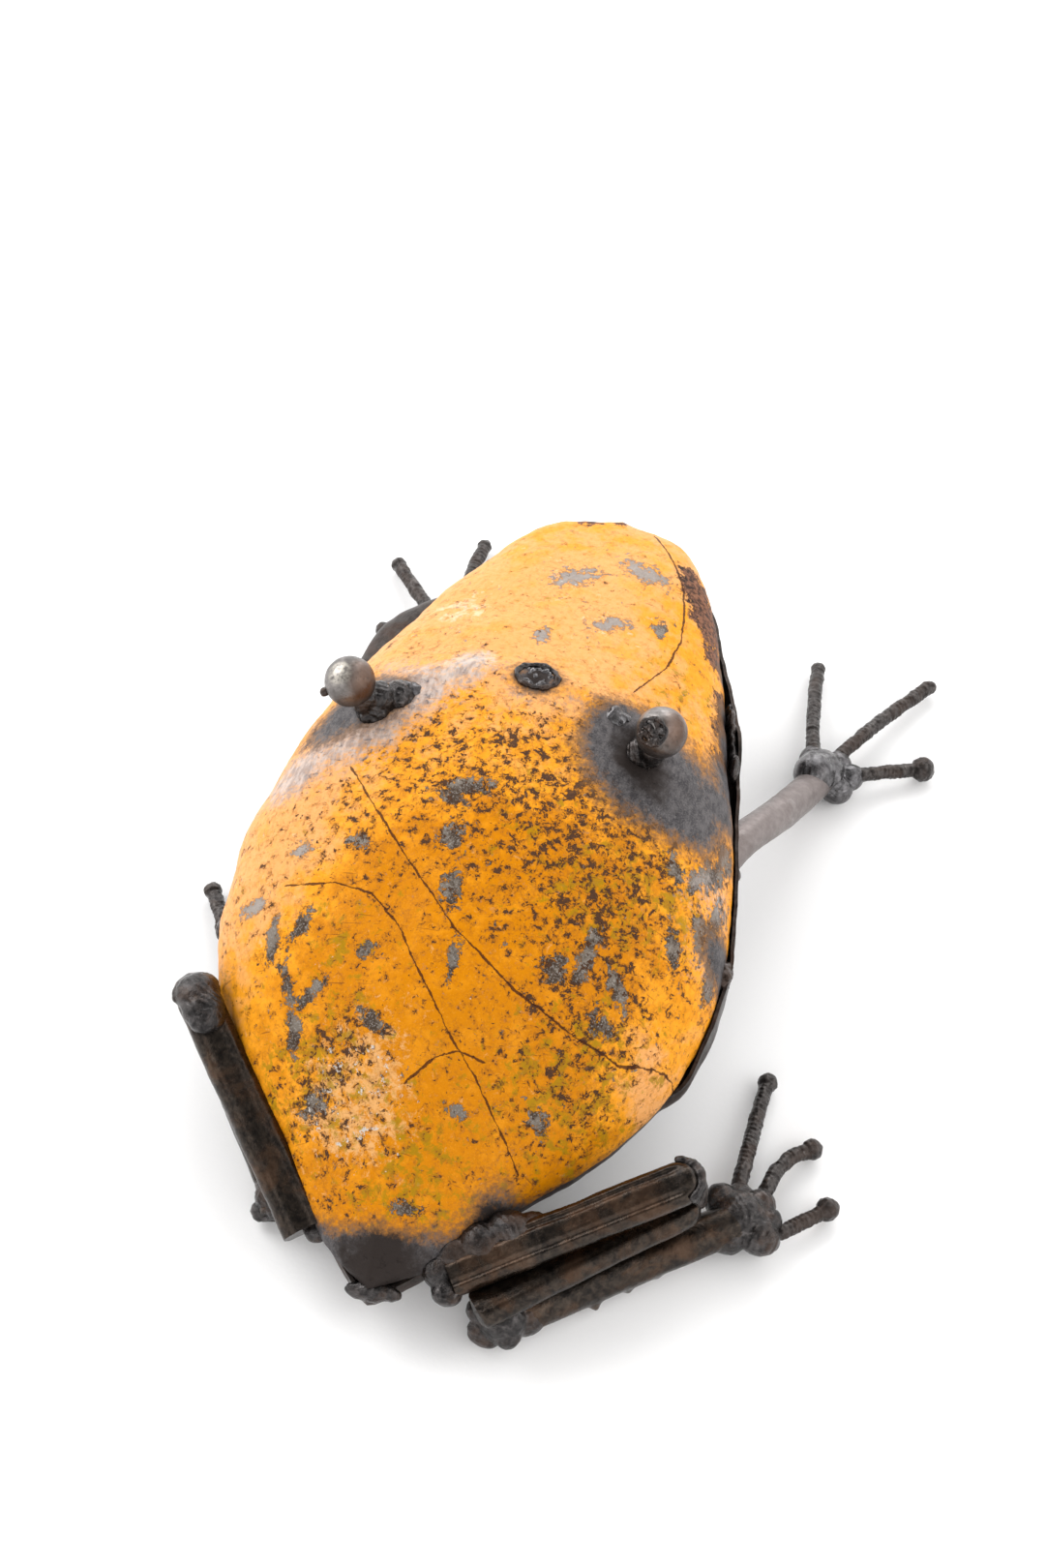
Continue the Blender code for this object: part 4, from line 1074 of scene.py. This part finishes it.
def painted_sheet():
    """Old orange-yellow drum paint: sun-faded, scratched, chipped to grey steel, rusted and heat-burnt."""
    g = Graph("painted_sheet")
    jagged = g.warped(5.0, 2.6)
    fine = g.noise(2.6, 5, 0.75)
    grain = g.noise(0.8, 3, 0.65)
    mottle = g.noise(12, 5, 0.62)
    # sound paint: deep at the rear, paler where the sun and hands reach; on the head and the left flank the
    # pale tone is also a painted highlight
    tone_and_highlight = g.add(g.mark("tone_and_highlight"), g.step(mottle, 0.35, 0.65, -0.22, 0.22))
    colour = g.mix(g.step(tone_and_highlight, 0.0, 0.5), PAINT_PALE, PAINT_MID)
    colour = g.mix(g.step(tone_and_highlight, 0.45, 1.0), colour, PAINT_DEEP)
    colour = g.mix(g.step(fine, 0.40, 0.72, 0.0, 0.4), colour, g.mix(tone_and_highlight, MOTTLE_PALE, MOTTLE_DEEP))
    colour = g.mix(g.step(grain, 0.30, 0.44, 0.35, 0.0), colour, PAINT_GRAIN)
    # thin rubbed paint, which on the head and the left rear is also a painted highlight
    rubbed_and_lit = g.reach(g.noise(6, 6, 0.75, at=jagged), "wear_and_highlight", 0.20)
    thin_and_lit = g.mix(g.step(g.mark("tone_and_highlight"), 0.0, 0.5), RUBBED_AND_LIT_PALE, RUBBED_AND_LIT_DEEP)
    colour = g.mix(g.step(rubbed_and_lit, 0.60, 0.74, 0.0, 0.85), colour, thin_and_lit)
    # olive stains
    stain = g.reach(g.noise(6.5, 5, 0.7, at=jagged), "stain", 0.14)
    colour = g.mix(g.step(stain, 0.60, 0.72, 0.0, 0.75), colour, OLIVE)
    # brown rust stains with dark ragged pits in them
    rust_level = g.reach(g.noise(4.6, 6, 0.76, at=jagged), "speck", 0.125)
    colour = g.mix(g.step(rust_level, 0.53, 0.68, 0.0, 0.62), colour, RUST_STAIN)
    pits = g.reach(g.noise(3.4, 5, 0.72, at=g.warped(2.4, 1.6)), "speck", 0.075)
    rust = g.most(g.step(rust_level, 0.655, 0.675), g.step(pits, 0.675, 0.70))
    # fine drawn scratches
    scratch = g.strokes(((0.5, 22), (1.5, 26), (2.5, 24)), 0.72, 0.75)
    colour = g.mix(g.times(scratch, 0.6), colour, SCRATCHED)
    # bare patches: the larger ones are placed, the small ones are everywhere
    torn = g.minus(g.noise(4.2, 6, 0.80, at=jagged), 0.5)
    placed = g.add(g.mark("chip"), g.times(torn, 3.1))
    small = g.line(g.noise(6.5, 6, 0.72, at=jagged, stretch=(1, 0.72, 1), turn=(0, 0, 2.5)), 5.0, -2.84)
    tiny = g.line(g.noise(2.6, 4, 0.7, at=jagged), 6.0, -3.82)
    chip_level = g.most(placed, g.most(small, tiny))
    chip = g.step(chip_level, 0.50, 0.54)
    colour = g.mix(g.step(chip_level, 0.34, 0.52, 0.0, 0.6), colour, CHIP_EDGE)
    metal = g.mix(g.step(g.noise(9, 4, 0.65), 0.44, 0.58), CHIP_DARK, CHIP_GREY)
    metal = g.mix(g.step(grain, 0.50, 0.66, 0.0, 0.7), metal, CHIP_WORN)
    # chips are lighter where the tone mark is pale, so partly under the painted highlights
    clean_and_lit = g.step(g.mark("tone_and_highlight"), 0.05, 0.45, 0.65, 0.0)
    metal = g.mix(clean_and_lit, metal, g.mix(fine, CHIP_CLEAN, CHIP_BRIGHT))
    colour = g.mix(chip, colour, metal)
    colour = g.mix(rust, colour, g.mix(fine, RUST_DARK, RUST_BROWN))
    # pale flecks of undercoat where the paint is rubbed, which in the painted highlights also stand for
    # glints
    fleck_and_glint = g.reach(g.noise(4.2, 6, 0.75), "wear_and_highlight", 0.10)
    colour = g.mix(g.step(fleck_and_glint, 0.685, 0.71), colour, UNDERCOAT_AND_GLINT)
    # big rust flakes at the edge of the head
    flake = g.step(g.add(g.mark("flake"), g.times(torn, 3.0)), 0.72, 0.78)
    colour = g.mix(flake, colour, g.mix(g.step(fine, 0.4, 0.6), FLAKE_DARK, FLAKE_BROWN))
    # heat of the welds: pale ash outside, blue-black scale inside, speckled where it thins out
    haze = g.minus(g.noise(10, 5, 0.65), 0.5)
    spread = g.minus(fine, 0.5)
    streak = g.step(g.noise(5, 4, 0.6, stretch=(1.7, 0.8, 1), turn=(0, 0, 0.6)), 0.35, 0.65)
    ash = g.add(g.mark("ash"), g.add(g.times(haze, 0.9), g.times(spread, 2.0)))
    colour = g.mix(g.step(ash, 0.22, 1.0, 0.0, 0.85), colour, g.mix(streak, ASH_DARK, ASH_PALE))
    heat = g.add(g.mark("burn"), g.add(g.times(haze, 0.5), g.times(spread, 1.1)))
    heat = g.add(heat, g.times(g.mark("edge"), 0.30))
    colour = g.mix(g.step(heat, 0.10, 0.55, 0.0, 0.8), colour, SINGED)
    burnt = g.step(heat, 0.36, 0.86)
    scale = g.mix(streak, SCALE_DARK, SCALE_PALE)
    scale = g.mix(g.step(grain, 0.48, 0.62, 0.0, 0.35), scale, SCALE_WORN)
    # on the back this mark is soot of the welds; the same mark on the eye balls is painted shade
    soot_and_shade = g.step(g.add(g.mark("soot_and_shade"), g.times(haze, 1.2)), 0.25, 0.8)
    colour = g.mix(burnt, colour, g.mix(soot_and_shade, scale, SOOT_BLACK))
    # cracks in the paint
    crack = None
    wander = g.times(g.minus(g.noise(4, 4, 0.7), 0.5), 1.9)
    for name in CRACKS:
        parts = g.node("ShaderNodeSeparateXYZ", {0: g.mark(name, vector=True)}).outputs
        away = g.math("ABSOLUTE", g.add(parts[0], wander))
        width = g.line(parts[1], -0.4, g.step(g.noise(7, 3), 0.35, 0.65, 0.12, 0.52))
        split = g.step(g.minus(width, away), -0.14, 0.10)
        crack = split if crack is None else g.most(crack, split)
    colour = g.mix(g.times(crack, 0.9), colour, CRACKED)
    # gloss and relief
    bare = g.most(g.most(chip, rust), g.most(burnt, flake))
    roughness = g.line(bare, 0.12, g.step(fine, 0.3, 0.7, 0.34, 0.50))
    metallic = g.times(g.most(burnt, chip), 0.35)
    relief = g.add(g.times(mottle, 0.4), g.times(fine, 0.35))
    for lost, depth in ((chip, 0.8), (rust, 0.7), (crack, 0.9), (scratch, 0.2), (flake, 0.6)):
        relief = g.minus(relief, g.times(lost, depth))
    relief = g.add(relief, g.times(g.times(grain, burnt), 0.4))
    return g.finish(colour, roughness, metallic, relief, 0.30, Specular_IOR_Level=0.07)


def bare_steel(name, dark, light, brown, roughness, tint=0.5, bump=0.25, oil=0.0):
    """Oily, scaled steel: dark with brown heat tint, and rubbed lighter on what stands out."""
    g = Graph(name)
    broad = g.noise(16, 4, 0.6, 0.5)
    fine = g.noise(3, 6, 0.68, 0.3)
    grain = g.noise(0.9, 3, 0.6)
    colour = g.mix(g.step(fine, 0.32, 0.68), dark, light)
    colour = g.mix(g.step(broad, 0.45, 0.66, 0.0, tint), colour, brown)
    proud = g.step(g.add(g.mark("high"), g.times(fine, 0.6)), 0.45, 1.25, 0.0, 0.55)
    colour = g.mix(proud, colour, tuple(min(3.2 * c, 0.5) for c in light))
    pale = g.step(g.noise(5, 6, 0.7, 1.0), 0.64, 0.70, 0.0, 0.5)
    colour = g.mix(pale, colour, tuple(min(2.2 * c, 0.45) for c in light))
    rough = g.step(broad, 0.3, 0.7, roughness - 0.09, roughness + 0.09)
    rough = g.add(rough, g.times(grain, 0.08))
    relief = g.add(fine, g.times(grain, 0.5))
    return g.finish(colour, rough, METALNESS, relief, bump, Coat_Weight=oil, Coat_Roughness=0.16)


def ball_steel():
    """Smoother steel, clouded and pitted, with the ball's tint, its painted shade below and the left ball's
    painted highlight on it.
    """
    g = Graph("ball_steel")
    broad = g.noise(9, 4, 0.6, 0.6)
    fine = g.noise(2.2, 6, 0.7)
    colour = g.mix(g.step(broad, 0.35, 0.65), BALL_DARK, BALL_PALE)
    colour = g.mix(g.step(fine, 0.5, 0.75, 0.0, 0.5), colour, BALL_CLOUDED)
    colour = g.mix(g.times(g.mark("tint"), 0.8), colour, BALL_TINT)
    # painted shade: the ball darker towards the bottom
    colour = g.mix(g.mark("soot_and_shade"), colour, BALL_SHADE)
    # painted highlight: a pale patch on top of the left ball
    colour = g.mix(g.times(g.mark("painted_highlight"), g.step(fine, 0.35, 0.6, 0.0, 0.6)), colour, BALL_HIGHLIGHT)
    pit = g.step(g.noise(1.4, 3, 0.6), 0.62, 0.70)
    colour = g.mix(g.times(pit, 0.6), colour, BALL_PIT)
    rough = g.step(fine, 0.3, 0.7, 0.30, 0.46)
    relief = g.minus(fine, pit)
    return g.finish(colour, rough, METALNESS, relief, 0.12, Coat_Weight=0.1, Coat_Roughness=0.2)


# ---------------------------------------------------------------- studio
def white_room():
    """Light from all round, weaker overhead."""
    world = bpy.data.worlds.new("studio_white")
    world.use_nodes = True
    tree = world.node_tree
    direction = tree.nodes.new("ShaderNodeTexCoord").outputs["Generated"]
    facing = tree.nodes.new("ShaderNodeVectorMath")
    facing.operation = "DOT_PRODUCT"
    tree.links.new(direction, facing.inputs[0])
    facing.inputs[1].default_value = Vector(DARK_CEILING).normalized()
    strength = tree.nodes.new("ShaderNodeMapRange")
    strength.interpolation_type = "SMOOTHSTEP"
    tree.links.new(facing.outputs["Value"], strength.inputs["Value"])
    levels = (*CEILING_EDGE, WALLS, CEILING)
    for key, value in zip(("From Min", "From Max", "To Min", "To Max"), levels):
        strength.inputs[key].default_value = value
    backdrop = tree.nodes["Background"]
    backdrop.inputs["Color"].default_value = ROOM_WHITE
    tree.links.new(strength.outputs[0], backdrop.inputs["Strength"])
    bpy.context.scene.world = world


def soft_lights():
    """The lamps, all turned to the frog."""
    for name, place, power, size in LIGHTS:
        light = bpy.data.lights.new(name, "AREA")
        light.energy = power
        light.size = size
        lamp = bpy.data.objects.new(name, light)
        lamp.location = place
        lamp.rotation_euler = (LIT_AT - lamp.location).to_track_quat("-Z", "Y").to_euler()
        bpy.context.scene.collection.objects.link(lamp)


def paper_floor():
    """White paper under the frog."""
    g = Graph("floor_paper")
    tooth = g.noise(2, 3)
    g.finish(g.mix(tooth, PAPER_GREY, PAPER_WHITE), 0.9, 0.0, tooth, 0.05)
    bm = bmesh.new()
    bmesh.ops.create_grid(bm, x_segments=2, y_segments=2, size=FLOOR_REACH)
    mesh = bpy.data.meshes.new("floor")
    bm.to_mesh(mesh)
    bm.free()
    mesh.materials.append(g.material)
    floor = bpy.data.objects.new("floor", mesh)
    bpy.context.scene.collection.objects.link(floor)


def set_camera():
    """The camera, behind the frog and above it."""
    scene = bpy.context.scene
    camera = bpy.data.objects.new("camera", bpy.data.cameras.new("camera"))
    scene.collection.objects.link(camera)
    a, e = math.radians(CAMERA_TURN), math.radians(CAMERA_RISE)
    back = Vector((math.sin(a) * math.cos(e), -math.cos(a) * math.cos(e), math.sin(e)))
    camera.location = at(*LOOK_AT) + back * CAMERA_DISTANCE
    camera.rotation_euler = (-back).to_track_quat("-Z", "Y").to_euler()
    camera.data.lens = LENS
    camera.data.sensor_width = SENSOR
    scene.camera = camera
    scene.view_settings.view_transform = "Standard"


# ---------------------------------------------------------------- whole object
def main():
    paint = painted_sheet()
    steel = {name: bare_steel(name, *given, **changes) for name, (given, changes) in STEELS.items()}
    balls = ball_steel()
    back_shell(paint)
    belly_shell(steel["dark_sheet"])
    toe_rods(steel["toe_rod"])
    legs(steel["leg_tube"], steel["arm_tube"])
    for seed, node in enumerate(WELDS, 70):
        weld(node, steel["weld_silver" if node in BRIGHT_WELDS else "weld_metal"], seed)
    for seed, side in enumerate(EYE_AT, 110):
        stem(f"eye_stem_{side}", steel["weld_metal"], seed)
        eye_ball(side, balls)
    white_room()
    soft_lights()
    paper_floor()
    set_camera()


main()
